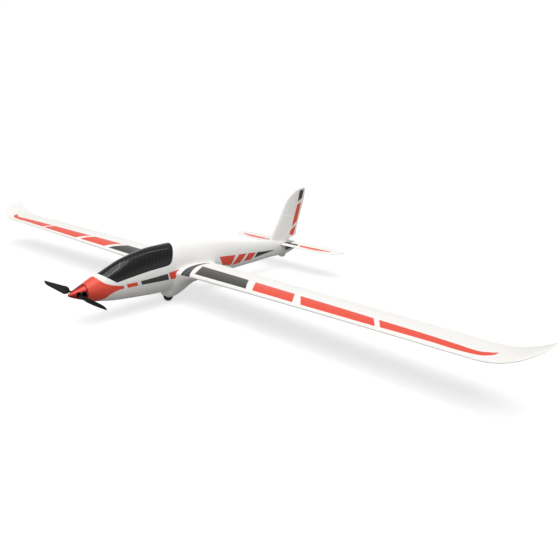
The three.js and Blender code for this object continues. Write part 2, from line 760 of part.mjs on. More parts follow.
function tailCuts() {
  const slot = box([-300, 300], [833, 1000], [STABILIZER_Z - 4.7, STABILIZER_Z + 4.7]);
  const below = outline([
    [878, 0],
    [878, -4.5],
    [884, -5.5],
    [940, -31.6],
    [960, 0],
  ]);
  const recess = box([1.2, 30], [862, 906], [-25, -3]);
  return [slot, sidePrism(below, -40, 40), recess];
}

function wheelWell() {
  const half = WHEEL_WIDTH / 2 + 1.3;
  const reach = WHEEL_RADIUS + 2;
  return box([-half, half], [WHEEL_Y - reach, WHEEL_Y + reach], [-120, WHEEL_Z + reach + 0.5]);
}

function axleRod(reach, radius) {
  return rod([-reach, WHEEL_Y, WHEEL_Z], [reach, WHEEL_Y, WHEEL_Z], radius);
}

function addBody() {
  const skin = bodyShape(SKIN_STATIONS, 0, SKIN_POINTS);
  const fin = loft(FIN_SECTIONS.map(finRing));
  const centre = loft([-75, -60, -45, -30, -15, 0, 15, 30, 45, 60, 75].map(wingRing));
  const fixedFin = cut(fin, sidePrism(rudderOutline(HINGE_CLEARANCE), -30, 30));
  const whole = cut(
    join(skin, centre, fixedFin),
    bodyShape(CAVITY_STATIONS, FOAM_WALL, CAVITY_POINTS),
    sidePrism(canopyOutline(0), -70, 70),
    wheelWell(),
    axleRod(13, 1.9),
    joinerSolid(JOINER_RADIUS + GAP, PANEL_ROOT_X + 5),
    ...tailCuts(),
    rod(...ELEVATOR_LINK.ends, 2.6),
    rod(...RUDDER_LINK.ends, 4.7),
  );
  add('fuselage_left', common(whole, box([GAP / 2, 100], [0, 1000], [-120, 250])), 'foam');
  add('fuselage_right', common(whole, box([-100, -GAP / 2], [0, 1000], [-120, 250])), 'foam');

  const shell = cut(skin, bodyShape(SKIN_STATIONS.slice(1, 18), CANOPY_WALL, SKIN_POINTS));
  add('canopy', common(shell, sidePrism(canopyOutline(GAP), -70, 70)), 'canopy');
  add('canopy_magnet', rod([0, 312, 80], [0, 312, 82.6], 4), 'steel');

  const rudder = add('rudder', rudderShape(fin), 'foam');
  turnsAbout(rudder, [0, RUDDER_HINGE.y, RUDDER_HINGE.z], [0, RUDDER_HINGE.rake, 1]);

  const skidSide = outline([
    [840, -30],
    [840, -40],
    [848, -47.5],
    [853, -49],
    [866, -49],
    [870, -46.5],
    [877, -36],
    [877, -30],
  ]);
  const skid = cut(sidePrism(skidSide, -4, 4), bodyShape(SKIN_STATIONS.slice(23), -GAP, SKIN_POINTS));
  add('tail_skid', skid, 'foam');
}

// ---------------------------------------------------------------- wheel
function addWheel() {
  const tyre = turned(
    closed([
      [9.3, -5],
      [14, -6],
      [WHEEL_RADIUS, -2.5],
      [WHEEL_RADIUS, 2.5],
      [14, 6],
      [9.3, 5],
    ]),
    24,
  );
  const hub = turned(
    closed([
      [1.9, -5.2],
      [4, -5.2],
      [9, -4.5],
      [9, 4.5],
      [4, 5.2],
      [1.9, 5.2],
    ]),
    16,
  );
  [tyre, hub].forEach((part) => part.rotateZ(-Math.PI / 2).translate(0, WHEEL_Y, WHEEL_Z));
  turnsAbout(add('wheel_tyre', tyre, 'rubber'), [0, WHEEL_Y, WHEEL_Z], [1, 0, 0]);
  add('wheel_hub', hub, 'plastic');
  add('wheel_axle', axleRod(12.6, 1.5), 'steel');
}

// ---------------------------------------------------------------- motor and propeller
// lead and trail: how far the edges lie from the blade's line; the trailing edge is straight
const BLADE_SECTIONS = [
  { x: 27, lead: 4.5, trail: 5, thick: 4.8 },
  { x: 33, lead: 7.6, trail: 9, thick: 4.6 },
  { x: 42, lead: 9.9, trail: 11.2, thick: 4.2 },
  { x: 60, lead: 9.6, trail: 9.7, thick: 3.5 },
  { x: 90, lead: 8.6, trail: 7.6, thick: 2.7 },
  { x: 115, lead: 7.6, trail: 5.5, thick: 2.1 },
  { x: 132, lead: 6.5, trail: 4.1, thick: 1.6 },
  { x: 141, lead: 3.8, trail: 3.3, thick: 1.2 },
  { x: 146, lead: 0, trail: 2.8, thick: 0.9 },
];

function bladeLineY(x) {
  return BLADE_PIN.y - BLADE_SET_FORWARD - BLADE_RAKE * (x - BLADE_PIN.x);
}

function bladeRing({ x, lead, trail, thick }) {
  const chord = lead + trail;
  const pitch = Math.atan(PROPELLER_PITCH / (2 * Math.PI * x));
  const towardsNose = new THREE.Vector3(0, -Math.sin(pitch), Math.cos(pitch));
  const forward = new THREE.Vector3(0, -Math.cos(pitch), -Math.sin(pitch));
  return chordWalk(5).map(({ u, side }) => {
    const half = Math.max(halfThickness(u, thick / chord) * chord, 0.35);
    const point = new THREE.Vector3(x, bladeLineY(x), 0);
    point.addScaledVector(towardsNose, lead - u * chord);
    return point.addScaledVector(forward, camberHeight(u, 0.04) * chord + side * half);
  });
}

function bladeShape() {
  const { x, y } = BLADE_PIN;
  const eye = rod([x, y, -3], [x, y, 3], 4.2);
  const shank = rod([x, y, 0], [32, bladeLineY(32), 0], 2.9, { endRadius: 2.3 });
  const blade = join(eye, shank, loft(BLADE_SECTIONS.map(bladeRing)));
  return cut(blade, rod([x, y, -8], [x, y, 8], 1.8));
}

function spinnerRadius(y) {
  return SPINNER_RADIUS * (y / SPINNER_LENGTH) ** 0.75;
}

function spinnerShape() {
  const wall = 1.5;
  const outer = [0, 1, 5, 13, 23, 33, SPINNER_LENGTH].map((y) => [spinnerRadius(y), y]);
  const inner = [SPINNER_LENGTH, 33, 20, 10].map((y) => [spinnerRadius(y) - wall, y]);
  const cone = turned([...outer, ...inner, [0, 5]], 24);
  return cut(cone, box([-40, 40], [19.5, 60], [-7, 7]));
}

function hubShape() {
  const { x, y } = BLADE_PIN;
  const boss = rod([0, 24, 0], [0, 43, 0], 6.5);
  const plate = rod([0, 41.6, 0], [0, 43.8, 0], 18.4, { sides: 24 });
  const forks = [-1, 1].map((side) => {
    const height = [3.4 * side, 5.7 * side].sort((a, b) => a - b);
    return box([-x - 3.4, x + 3.4], [y - 3.6, y + 3.6], height);
  });
  const bores = [-1, 1].map((side) => rod([side * x, y, -8], [side * x, y, 8], 1.8));
  return cut(join(boss, plate, ...forks), rod([0, 15, 0], [0, 50, 0], 2.3), ...bores);
}

function addPropeller() {
  const blade = bladeShape();
  const { x, y } = BLADE_PIN;
  const tilted = (px) => new THREE.Vector3(px, y, 0).applyEuler(propeller.rotation);
  const pinAxis = new THREE.Vector3(0, 0, 1).applyEuler(propeller.rotation);
  turnsAbout(add('spinner', spinnerShape(), 'red', propeller), [0, 0, 0], [0, 1, 0]);
  add('blade_hub', hubShape(), 'aluminium', propeller);
  turnsAbout(add('blade_left', blade, 'plastic', propeller), tilted(x), pinAxis);
  const other = add('blade_right', blade.clone().rotateY(Math.PI), 'plastic', propeller);
  turnsAbout(other, tilted(-x), pinAxis.clone().negate());
  add('blade_pin_left', rod([x, y, -6.5], [x, y, 6.5], 1.5), 'steel', propeller);
  add('blade_pin_right', rod([-x, y, -6.5], [-x, y, 6.5], 1.5), 'steel', propeller);

  const nutBore = rod([0, 15, 0], [0, 30, 0], 2.3);
  const nut = rod([0, 19.5, 0], [0, 23.7, 0], 4.2, { sides: 6 });
  add('propeller_nut', cut(nut, nutBore), 'steel', propeller);
  add('motor_shaft', rod([0, 18, 0], [0, 79, 0], 2), 'steel', propeller);
  const bell = closed([
    [2.3, 55],
    [8, 55],
    [14, 59],
    [14, 74],
    [2.3, 74],
  ]);
  add('motor_bell', turned(bell, 20), 'aluminium', propeller);
  const base = closed([
    [2.3, 74.5],
    [12.5, 74.5],
    [12.5, 77],
    [9, 81.6],
    [2.3, 81.6],
  ]);
  add('motor_base', turned(base, 16), 'aluminium');
  const inside = bodyShape(CAVITY_STATIONS, FOAM_WALL + GAP, CAVITY_POINTS);
  add('firewall', common(inside, box([-60, 60], [82, 85], [-60, 60])), 'plywood');
}

// ---------------------------------------------------------------- equipment
const TRAY_TOP = -12;
const BATTERY = { x: 17, y: [108, 213], height: 24 };

function addEquipment() {
  const strapY = [150, 168];
  const slots = [-1, 1].map((side) => {
    const x = [side * 17, side * 21].sort((a, b) => a - b);
    return box(x, [strapY[0] - 1, strapY[1] + 1], [-30, 0]);
  });
  const armSlot = box([8.4, 13.6], [380, 426], [-30, 0]);
  const inside = bodyShape(CAVITY_STATIONS, FOAM_WALL + GAP, CAVITY_POINTS);
  const sheet = common(inside, box([-34, 34], [92, 436], [TRAY_TOP - 3, TRAY_TOP]));
  add('equipment_tray', cut(sheet, armSlot, ...slots), 'plywood');

  const batteryBase = TRAY_TOP + GAP;
  const batteryTop = batteryBase + BATTERY.height;
  add('battery', box([-BATTERY.x, BATTERY.x], BATTERY.y, [batteryBase, batteryTop]), 'battery');
  const strap = cut(
    box([-19.2, 19.2], strapY, [TRAY_TOP - 5, batteryTop + 1.9]),
    box([-17.4, 17.4], [0, 500], [TRAY_TOP - 3.4, batteryTop + GAP]),
  );
  add('battery_strap', strap, 'strap');
  const onTray = [batteryBase, batteryBase + 11];
  add('speed_controller', box([-14, 14], [232, 284], onTray), 'plastic');
  add('receiver', box([-12, 12], [298, 342], onTray), 'plastic');
}

addBody();
addWheel();
addPropeller();
addEquipment();
addWing();
addStabilizer();
addLinkage('elevator', ELEVATOR_LINK, 'elevator_servo');
addLinkage('rudder', RUDDER_LINK, 'rudder_servo');

export default glider;
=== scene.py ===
import json
import math

import bmesh
import bpy
import numpy as np
from mathutils import Matrix, Vector, kdtree


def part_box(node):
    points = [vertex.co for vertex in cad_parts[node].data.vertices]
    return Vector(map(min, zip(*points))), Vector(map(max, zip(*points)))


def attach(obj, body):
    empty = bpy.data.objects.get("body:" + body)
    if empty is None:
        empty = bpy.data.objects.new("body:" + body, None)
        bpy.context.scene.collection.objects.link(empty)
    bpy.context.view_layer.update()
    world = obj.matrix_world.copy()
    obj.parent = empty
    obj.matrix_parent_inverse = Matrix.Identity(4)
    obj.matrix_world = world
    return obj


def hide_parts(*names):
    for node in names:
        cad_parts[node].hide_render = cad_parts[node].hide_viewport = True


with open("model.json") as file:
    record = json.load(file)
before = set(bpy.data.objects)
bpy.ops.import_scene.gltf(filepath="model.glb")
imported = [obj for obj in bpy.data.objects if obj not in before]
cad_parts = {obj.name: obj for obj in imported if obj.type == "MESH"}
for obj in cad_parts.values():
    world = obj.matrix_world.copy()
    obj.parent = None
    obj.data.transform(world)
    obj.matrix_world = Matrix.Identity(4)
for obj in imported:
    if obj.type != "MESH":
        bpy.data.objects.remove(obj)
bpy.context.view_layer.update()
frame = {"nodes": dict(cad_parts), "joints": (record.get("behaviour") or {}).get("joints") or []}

# ---- frame and units
# Shapes are laid out in millimetres from the spinner tip: X to the aircraft's left, Y aft, Z up.
MM = 0.001
SPINNER_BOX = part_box("spinner")
NOSE = np.array([0.0, SPINNER_BOX[0].y, (SPINNER_BOX[0].z + SPINNER_BOX[1].z) / 2]) / MM
FOLD_AXIS = next(joint["axis"] for joint in frame["joints"] if joint["name"] == "blade_left_fold")
PROPELLER_TILT = math.atan2(FOLD_AXIS[0], FOLD_AXIS[2])

GAP = 0.3
FOAM_WALL = 5.0
CANOPY_WALL = 3.0
TRAILING_HALF = 0.5  # half the thickness of the thinnest foam edge
PAINT_EDGE = 0.5  # width over which the edge of a marking blends
SHARP_ANGLE = 35  # degrees; edges sharper than this are not shaded smooth

# Points round one section, or along one arc
BODY_POINTS, CAVITY_POINTS = 112, 48
WING_STEPS, CENTRE_STEPS, FIN_STEPS, TAIL_STEPS, BLADE_STEPS = 36, 72, 28, 24, 18
ROD_SIDES, BEND_STEPS = 48, 10

# ---- section tables
BODY_Y = [46.5, 62, 80, 100, 125, 153, 199, 246, 294, 345, 385, 423, 483, 546, 638, 712, 786, 842, 880, 927]
BODY_WIDTH = [22, 25.5, 28.8, 32, 35.4, 38.8, 42.8, 45.2, 46, 44.5,
              41, 36.5, 30.5, 25.5, 20.5, 17.5, 14.8, 12.5, 9.5, 4]
BODY_TOP = [22.5, 30, 37, 43.5, 54, 65, 76.5, 84, 86.5, 86.5,
            83.5, 79, 71, 61.5, 46.5, 35, 25, 17, 11, -18]
BODY_BOTTOM = [-22.5, -28.5, -32.5, -36.5, -41, -44.5, -48.5, -52.5, -55, -54.5,
               -53, -50.5, -46.5, -44, -42, -40.5, -38, -40, -40.5, -30.5]
BODY_MIDDLE = [0, 1, 2, 3, 5, 7, 9, 10, 10, 10, 9, 8, 5, 2, -2, -4, -6, -8, -12, -25]
BODY_UPPER = [2, 2, 2, 1.95, 1.9, 1.9, 1.95, 2, 2.05, 2.1, 2.1, 2.1, 2, 2, 2, 2, 2, 2, 2, 2]
BODY_LOWER = [2, 2, 2.1, 2.2, 2.2, 2.2, 2.2, 2.2, 2.1, 2, 2, 2, 2, 2, 2, 2, 2, 2, 2, 2]

FIN_Z = [4, 24, 56, 82, 110, 140, 165, 183, 193, 197]
FIN_FRONT = [768, 783, 806, 825, 842, 861, 881, 908, 933, 950]
FIN_BACK = [932, 935, 940, 949, 959, 971, 977, 980, 980, 978]
FIN_HALF = [7.5, 7, 6.3, 5.7, 5.1, 4.4, 3.7, 3, 2.2, 1.4]
FIN_BACK_MAX = max(FIN_BACK)
FIN_HEIGHTS = np.concatenate([np.arange(4, 184, 4.0), np.linspace(185, 197, 9)])

TIP_X = [930, 958, 985, 1006, 1024, 1038, 1046, 1050]
TIP_FRONT = [302, 303.5, 309, 318, 332, 350, 368, 384]
TIP_BACK = [415.4, 413.5, 411.5, 410, 408, 405.5, 403, 400.5]
TIP_HEIGHT = [23.5, 26, 32, 39.5, 48, 56, 61, 63.6]

BLADE_X = [27, 33, 42, 60, 90, 115, 132, 141, 146]
BLADE_LEAD = [4.5, 7.6, 9.9, 9.6, 8.6, 7.6, 6.5, 3.8, 0]
BLADE_TRAIL = [5, 9, 11.2, 9.7, 7.6, 5.5, 4.1, 3.3, 2.8]
BLADE_THICK = [4.8, 4.6, 4.2, 3.5, 2.7, 2.1, 1.6, 1.2, 0.9]
BLADE_PIN_X, BLADE_PIN_Y = 16, 29
BLADE_SET_FORWARD = 10
BLADE_CAMBER = 0.04
BLADE_BORE = 1.8
SHANK_END = 32
BLADE_RAKE = math.tan(math.radians(0.8))
PROPELLER_PITCH = 152

WHEEL_RADIUS, WHEEL_Y, WHEEL_Z = 17, 322, -74
WHEEL_CLEARANCE = 2
WELL_HALF_WIDTH = 7.3
AXLE_REACH, AXLE_HOLE = 13, 1.9
SPINNER_RADIUS, SPINNER_LENGTH, SPINNER_WALL = 21.6, 44, 1.5
SPINNER_POWER = 0.75

PANEL_ROOT_X = 75
FLAP_X = (79, 397)
AILERON_X = (403, 790)
WING_CAMBER = 0.03
HINGE_AT = 0.74
HINGE_CLEARANCE = 0.9
FLAP_SERVO_X, AILERON_SERVO_X = 300, 600
JOINER_Y, JOINER_RADIUS, JOINER_REACH = 372, 5, 260
JOINER_RISE = 4
WING_SCREW_X, WING_SCREW_HOLE = 95, 1.8
WING_FILLET, FIN_FILLET = (20, 60), (12, 30)  # reach and smoothing passes

STABILIZER_Z = 1
STABILIZER_REACH = 245
ELEVATOR_REACH = 236
ELEVATOR_CLEARANCE = 0.8
ELEVATOR_HINGE_Y, ELEVATOR_HINGE_Z = 888, 1
ELEVATOR_RADII = (2.9, 2.1)
RUDDER_HINGE_Y, RUDDER_HINGE_Z, RUDDER_RAKE = 887, 22, 0.358
RUDDER_FOOT, RUDDER_HORN = 14, 93
TAIL_SLOT_HALF = 4.7
ELEVATOR_CHANNEL = ((12, 400, -18), (7, 888, -13), 2.6)
RUDDER_CHANNEL = ((-8, 440.7, 15.9), (-14, 889.2, 28.1), 4.7)


# ---- numbers and curves
def through(places, values):
    """A smooth curve through the points, as a function that takes one place or an array."""
    places, values = np.asarray(places, float), np.asarray(values, float)
    slopes = np.diff(values) / np.diff(places)
    at_nodes = np.concatenate([slopes[:1], (slopes[1:] + slopes[:-1]) / 2, slopes[-1:]])

    def at(place):
        place = np.clip(place, places[0], places[-1])
        i = np.clip(np.searchsorted(places, place, side="right") - 1, 0, len(places) - 2)
        width = places[i + 1] - places[i]
        t = (place - places[i]) / width
        first = (1 + 2 * t) * (1 - t) ** 2 * values[i] + t * (1 - t) ** 2 * width * at_nodes[i]
        return first + t * t * (3 - 2 * t) * values[i + 1] + t * t * (t - 1) * width * at_nodes[i + 1]

    return at


body_width, body_top, body_bottom = (through(BODY_Y, v) for v in (BODY_WIDTH, BODY_TOP, BODY_BOTTOM))
body_middle, body_upper, body_lower = (through(BODY_Y, v) for v in (BODY_MIDDLE, BODY_UPPER, BODY_LOWER))
tip_front, tip_back, tip_height = (through(TIP_X, v) for v in (TIP_FRONT, TIP_BACK, TIP_HEIGHT))
fin_front, fin_back, fin_half = (through(FIN_Z, v) for v in (FIN_FRONT, FIN_BACK, FIN_HALF))


def half_thickness(u, thickness):
    """Half thickness of a wing section of unit chord."""
    rest = -0.126 * u - 0.3516 * u**2 + 0.2843 * u**3 - 0.1036 * u**4
    return 5 * thickness * (0.2969 * np.sqrt(u) + rest)


def blunt(u, half):
    """Keeps the rear half of a section from getting thinner than foam can be moulded."""
    return np.where(u > 0.5, np.maximum(half, TRAILING_HALF), half)


def camber_height(u, camber):
    """Rise of the middle line of a section of unit chord."""
    peak = 0.4
    ahead = camber / peak**2 * (2 * peak * u - u**2)
    behind = camber / (1 - peak) ** 2 * (1 - 2 * peak + 2 * peak * u - u**2)
    return np.where(u < peak, ahead, behind)


def chord_walk(steps):
    """Chord shares from the trailing edge round the nose and back, and the side of each."""
    index = np.arange(2 * steps + 1)
    return (1 + np.cos(math.pi * index / steps)) / 2, np.where(index < steps, 1.0, -1.0)


# ---- mesh helpers
def add(name, data):
    """A new object in the scene."""
    item = bpy.data.objects.new(name, data)
    bpy.context.scene.collection.objects.link(item)
    return item


def make(name, vertices, faces):
    mesh = bpy.data.meshes.new(name)
    places = (np.asarray(vertices, float) + NOSE) * MM
    mesh.from_pydata(places.tolist(), [], faces)
    outward(mesh)
    return add(name, mesh)


def outward(mesh, merge=None):
    """Turns every face outward, and first merges points closer than merge."""
    work = bmesh.new()
    work.from_mesh(mesh)
    if merge:
        bmesh.ops.remove_doubles(work, verts=work.verts, dist=merge)
    bmesh.ops.recalc_face_normals(work, faces=work.faces)
    work.to_mesh(mesh)
    work.free()


def loft(name, rings):
    """Joins equal rings into one closed skin, with a fan over each end."""
    rings = np.asarray(rings, float)
    count, points = rings.shape[:2]
    i, j = np.meshgrid(np.arange(count - 1), np.arange(points), indexing="ij")
    a, b = i * points + j, i * points + (j + 1) % points
    faces = np.stack([a, b, b + points, a + points], -1).reshape(-1, 4).tolist()
    vertices = np.concatenate([rings.reshape(-1, 3), rings[[0, -1]].mean(1)])
    last = (count - 1) * points
    for k in range(points):
        after = (k + 1) % points
        faces.append([count * points, after, k])
        faces.append([count * points + 1, last + k, last + after])
    return make(name, vertices, faces)


def prism(name, outline, low, high, place):
    """Extrudes an outline of (u, v) points; place(u, v, w) gives each corner."""
    count = len(outline)
    vertices = [place(u, v, w) for w in (low, high) for u, v in outline]
    faces = [list(range(count)), list(range(2 * count - 1, count - 1, -1))]
    for k in range(count):
        after = (k + 1) % count
        faces.append([k, after, count + after, count + k])
    return make(name, vertices, faces)


def side_prism(name, outline, low, high):
    return prism(name, outline, low, high, lambda y, z, x: (x, y, z))


def plan_prism(name, outline, low, high):
    return prism(name, outline, low, high, lambda x, y, z: (x, y, z))


def box(name, x, y, z):
    return plan_prism(name, [(x[0], y[0]), (x[1], y[0]), (x[1], y[1]), (x[0], y[1])], *z)


def rod(name, start, end, radius, end_radius=None):
    start, end = np.asarray(start, float), np.asarray(end, float)
    way = (end - start) / np.linalg.norm(end - start)
    aside = np.cross(way, (0, 0, 1) if abs(way[2]) < 0.9 else (1, 0, 0))
    aside /= np.linalg.norm(aside)
    across = np.cross(way, aside)
    turn = np.linspace(0, 2 * math.pi, ROD_SIDES, endpoint=False)[:, None]
    circle = np.cos(turn) * aside + np.sin(turn) * across
    return loft(name, [start + radius * circle, end + (end_radius or radius) * circle])


def turned(name, profile, sides=96, closed=True, place=lambda r, c, s, a: (r * c, a, r * s)):
    """A round piece from (radius, along) points, about the thrust line unless place says otherwise."""
    turns = np.linspace(0, 2 * math.pi, sides, endpoint=False)
    rows = [[place(r, math.cos(t), math.sin(t), a) for t in turns] for r, a in profile]
    vertices = [point for row in rows for point in row]
    faces = []
    for i in range(len(profile) if closed else len(profile) - 1):
        below, above = i * sides, (i + 1) % len(profile) * sides
        for j in range(sides):
            after = (j + 1) % sides
            faces.append([below + j, below + after, above + after, above + j])
    piece = make(name, vertices, faces)
    outward(piece.data, merge=1e-7)
    return piece


def apply_modifiers(piece):
    mesh = bpy.data.meshes.new_from_object(piece.evaluated_get(bpy.context.evaluated_depsgraph_get()))
    old = piece.data
    piece.modifiers.clear()
    piece.data = mesh
    bpy.data.meshes.remove(old)


def boolean(piece, operation, *tools):
    for tool in tools:
        modifier = piece.modifiers.new(operation, "BOOLEAN")
        modifier.operation = operation
        modifier.solver = "MANIFOLD"
        modifier.object = tool
    apply_modifiers(piece)
    for tool in tools:
        bpy.data.objects.remove(tool)
    return piece


def cut(piece, *tools):
    return boolean(piece, "DIFFERENCE", *tools)


def join(piece, *tools):
    return boolean(piece, "UNION", *tools)


def copy(piece, name):
    return add(name, piece.data.copy())


def soften(piece, picks, reach, passes):
    """Rounds the skin near its sharp edges, like a moulded fillet; picks(x, y, z) chooses the edges."""
    work = bmesh.new()
    work.from_mesh(piece.data)
    creases = set()
    for edge in work.edges:
        if len(edge.link_faces) == 2 and edge.calc_face_angle() > math.radians(16):
            middle = np.array((edge.verts[0].co + edge.verts[1].co) / 2) / MM - NOSE
            if picks(*middle):
                creases.update(vertex.index for vertex in edge.verts)
    work.free()
    tree = kdtree.KDTree(len(creases))
    for index in sorted(creases):
        tree.insert(piece.data.vertices[index].co, index)
    tree.balance()
    group = piece.vertex_groups.new(name="soft")
    for vertex in piece.data.vertices:
        distance = tree.find(vertex.co)[2] / MM
        if distance < reach:
            group.add([vertex.index], (1 - (distance / reach) ** 2) ** 2, "REPLACE")
    smooth = piece.modifiers.new("soften", "SMOOTH")
    smooth.factor = 0.5
    smooth.iterations = passes
    smooth.vertex_group = "soft"
    apply_modifiers(piece)
    piece.vertex_groups.clear()


def wing_root(x, y, z):
    """Whether a point is on the line where the wing meets the body, but not on the wing's rear edge."""
    at_body = abs(x) < 60 and 262 < y < 500 and z < 40
    on_edge = y > wing_back(abs(x)) - 4 and abs(x) > 40
    return at_body and not on_edge


def fin_root(x, y, z):
    return abs(x) < 12 and 740 < y < 870 and -10 < z < 40


def mirrored(piece, name):
    twin = copy(piece, name)
    twin.data.transform(Matrix.Scale(-1, 4, (1, 0, 0)))
    twin.data.flip_normals()
    return twin


# ---- shapes of the aircraft
def body_rings(stations, inset, points):
    y = np.asarray(stations, float)[:, None]
    turn = 2 * math.pi * np.arange(points)[None, :] / points
    cosine, sine = np.cos(turn), np.sin(turn)
    upper = sine >= 0
    power = 2 / np.where(upper, body_upper(y), body_lower(y))
    across = np.sign(cosine) * np.abs(cosine) ** power
    reach = np.where(upper, body_top(y), body_bottom(y)) - body_middle(y)
    height = reach - np.sign(reach) * inset
    x = (body_width(y) - inset) * across
    z = body_middle(y) + height * np.abs(sine) ** power
    return np.stack([x, np.broadcast_to(y, x.shape), z], -1)


def wing_front(x):
    flare = 40 * np.clip(1 - x / 130, 0, None) ** 3
    return np.where(x > TIP_X[0], tip_front(x), 325.3 - 0.025 * x - flare)


def wing_back(x):
    return np.where(x > TIP_X[0], tip_back(x), 483.3 - 0.073 * x)


def wing_height(x):
    return np.where(x > TIP_X[0], tip_height(x), 1.1 + 0.033 * x - 9.6e-6 * x * x)


def wing_thickness(x):
    return 0.125 - 0.030 * x / TIP_X[0]


def fillet_depth(x, u):
    """How far the belly fairing reaches below the wing's own lower skin."""
    depth = np.minimum(75, 89 * np.clip(1 - x / 135, 0, None) ** 2)
    share = 1 - np.abs(2 * np.sqrt(np.minimum(u, 0.7) / 0.7) - 1) ** 2.6
    return depth * share


def wing_skin(x, u, side):
    chord = wing_back(x) - wing_front(x)
    half = half_thickness(u, wing_thickness(x)) * chord
    half = blunt(u, half)
    closing = np.sqrt(np.clip(1 - (np.clip(x - 1046, 0, None) / 4) ** 2, 0.03, 1))
    height = wing_height(x) + camber_height(u, WING_CAMBER) * chord + side * half * closing
    return np.where(side < 0, height - fillet_depth(x, u), height)


def wing_rings(stations, steps):
    u, side = chord_walk(steps)
    rings = []
    for station in stations:
        x = abs(station)
        chord = wing_back(x) - wing_front(x)
        across = np.full(len(u), station)
        rings.append(np.stack([across, wing_front(x) + u * chord, wing_skin(x, u, side)], -1))
    return rings


def hinge_point(x):
    chord = wing_back(x) - wing_front(x)
    height = wing_height(x) + camber_height(HINGE_AT, WING_CAMBER) * chord
    return np.array([x, wing_front(x) + HINGE_AT * chord, height])


def hinge_radius(x):
    return half_thickness(HINGE_AT, wing_thickness(x)) * (wing_back(x) - wing_front(x)) - 0.15


def surface_room(span, clearance):
    """A block over a flap or an aileron, or with some clearance the room that the wing leaves for it."""
    start, end = hinge_point(span[0]), hinge_point(span[1])
    ahead = [hinge_radius(x) + clearance if clearance else 0 for x in span]
    inner, outer, behind = span[0] - clearance, span[1] + clearance, 80
    outline = [(inner, start[1] - ahead[0]), (outer, end[1] - ahead[1]),
               (outer, end[1] + behind), (inner, start[1] + behind)]
    return plan_prism("room", outline, -80, 120)


def link_frame(pivot, axis, up):
    """Turn and origin of a servo: its X along the axis and its Z close to up."""
    x = np.asarray(axis, float) / np.linalg.norm(axis)
    y = np.cross(up, x)
    y /= np.linalg.norm(y)
    return np.stack([x, y, np.cross(x, y)], 1), np.asarray(pivot, float)


def servo_pocket(span, x):
    axis = hinge_point(span[1]) - hinge_point(span[0])
    chord = wing_back(x) - wing_front(x)
    turn, pivot = link_frame((x, wing_front(x) + 0.4 * chord, wing_height(x) + 0.8), axis, (0, 0, 1))
    corners = [(-11, -22.5), (21.5, -22.5), (21.5, 3.8), (-11, 3.8)]

    def place(y, across, z):
        return pivot + turn @ np.array([across, y, z])

    return prism("pocket", corners, -16.5, 4.8, place)


def joiner_point(x):
    return np.array([x, JOINER_Y, wing_height(abs(x)) + JOINER_RISE])


def fin_rings(heights):
    u, side = chord_walk(FIN_STEPS)
    rings = []
    for z in heights:
        front, back = fin_front(z), min(fin_back(z), FIN_BACK_MAX)
        chord = back - front
        thick = blunt(u, half_thickness(u, 2 * fin_half(z) / chord) * chord)
        rings.append(np.stack([side * thick, front + u * chord, np.full(len(u), z)], -1))
    return rings


def rudder_hinge(z):
    return np.array([0, RUDDER_HINGE_Y + RUDDER_RAKE * (z - RUDDER_HINGE_Z), z])


def rudder_radius(z):
    return 4.2 - 0.8 * (z - RUDDER_FOOT) / (RUDDER_HORN - RUDDER_FOOT)


def rudder_outline(clearance):
    """The rudder's side view, or with some clearance the room that the fin leaves for it."""
    front, back = (840, 110.4), (913, 94)
    ahead = rudder_radius(RUDDER_FOOT) + clearance if clearance else 0
    lowest, behind, above, before = -5 if clearance else 12.5, 1000, 217, 40
    slope = (back[1] - front[1]) / (back[0] - front[0])
    return [(rudder_hinge(lowest)[1] - ahead, lowest), (behind, lowest if clearance else 34.6),
            (behind, above), (front[0] - before, above),
            (front[0] - before, front[1] - before * slope - clearance),
            (back[0] - ahead, back[1] - ahead * slope - clearance)]


def tail_rings(stations):
    u, side = chord_walk(TAIL_STEPS)
    rings = []
    for x in stations:
        out = abs(x) / STABILIZER_REACH
        front = 835 + 12 * out**2 + 26 * out**14
        chord = 925 - 5 * out**2 - 16 * out**18 - front
        half = blunt(u, half_thickness(u, 0.09 - 0.015 * out) * chord)
        rings.append(np.stack([np.full(len(u), x), front + u * chord, STABILIZER_Z + side * half], -1))
    return rings


def canopy_outline(inset):
    """The hatch line in side view."""
    sill = through([128, 167, 215, 288], [16.5, 22.5, 28.5, 33])
    points = [(58 + inset, 110), (58 + inset, 64), (122 + inset, 17.5 + inset)]
    points += bend((122 + inset, 17.5 + inset), (124 + inset, 15.5 + inset), (128, 16.5 + inset))
    points += [(y, float(sill(y)) + inset) for y in np.linspace(132, 288, 40)]
    points += bend((288, 33 + inset), (303 - inset, 35 + inset), (311 - inset, 55))
    return points + [(340 - inset, 110)]


def bend(start, corner, end):
    """The points of a rounded corner, without its first."""
    t = np.linspace(0, 1, BEND_STEPS + 1)[1:, None]
    points = (1 - t) ** 2 * np.array(start) + 2 * t * (1 - t) * np.array(corner) + t * t * np.array(end)
    return [tuple(point) for point in points]


# ---- body
SKIN_STATIONS = np.concatenate(
    [np.arange(46.5, 400, 3.5), np.arange(402, 860, 5.0), np.arange(862, 927, 2.5), [927.0]])
CAVITY_STATIONS = [40, 60, 80, 100, 130, 165, 210, 280, 345, 400, 460, 546, 638, 740, 836]


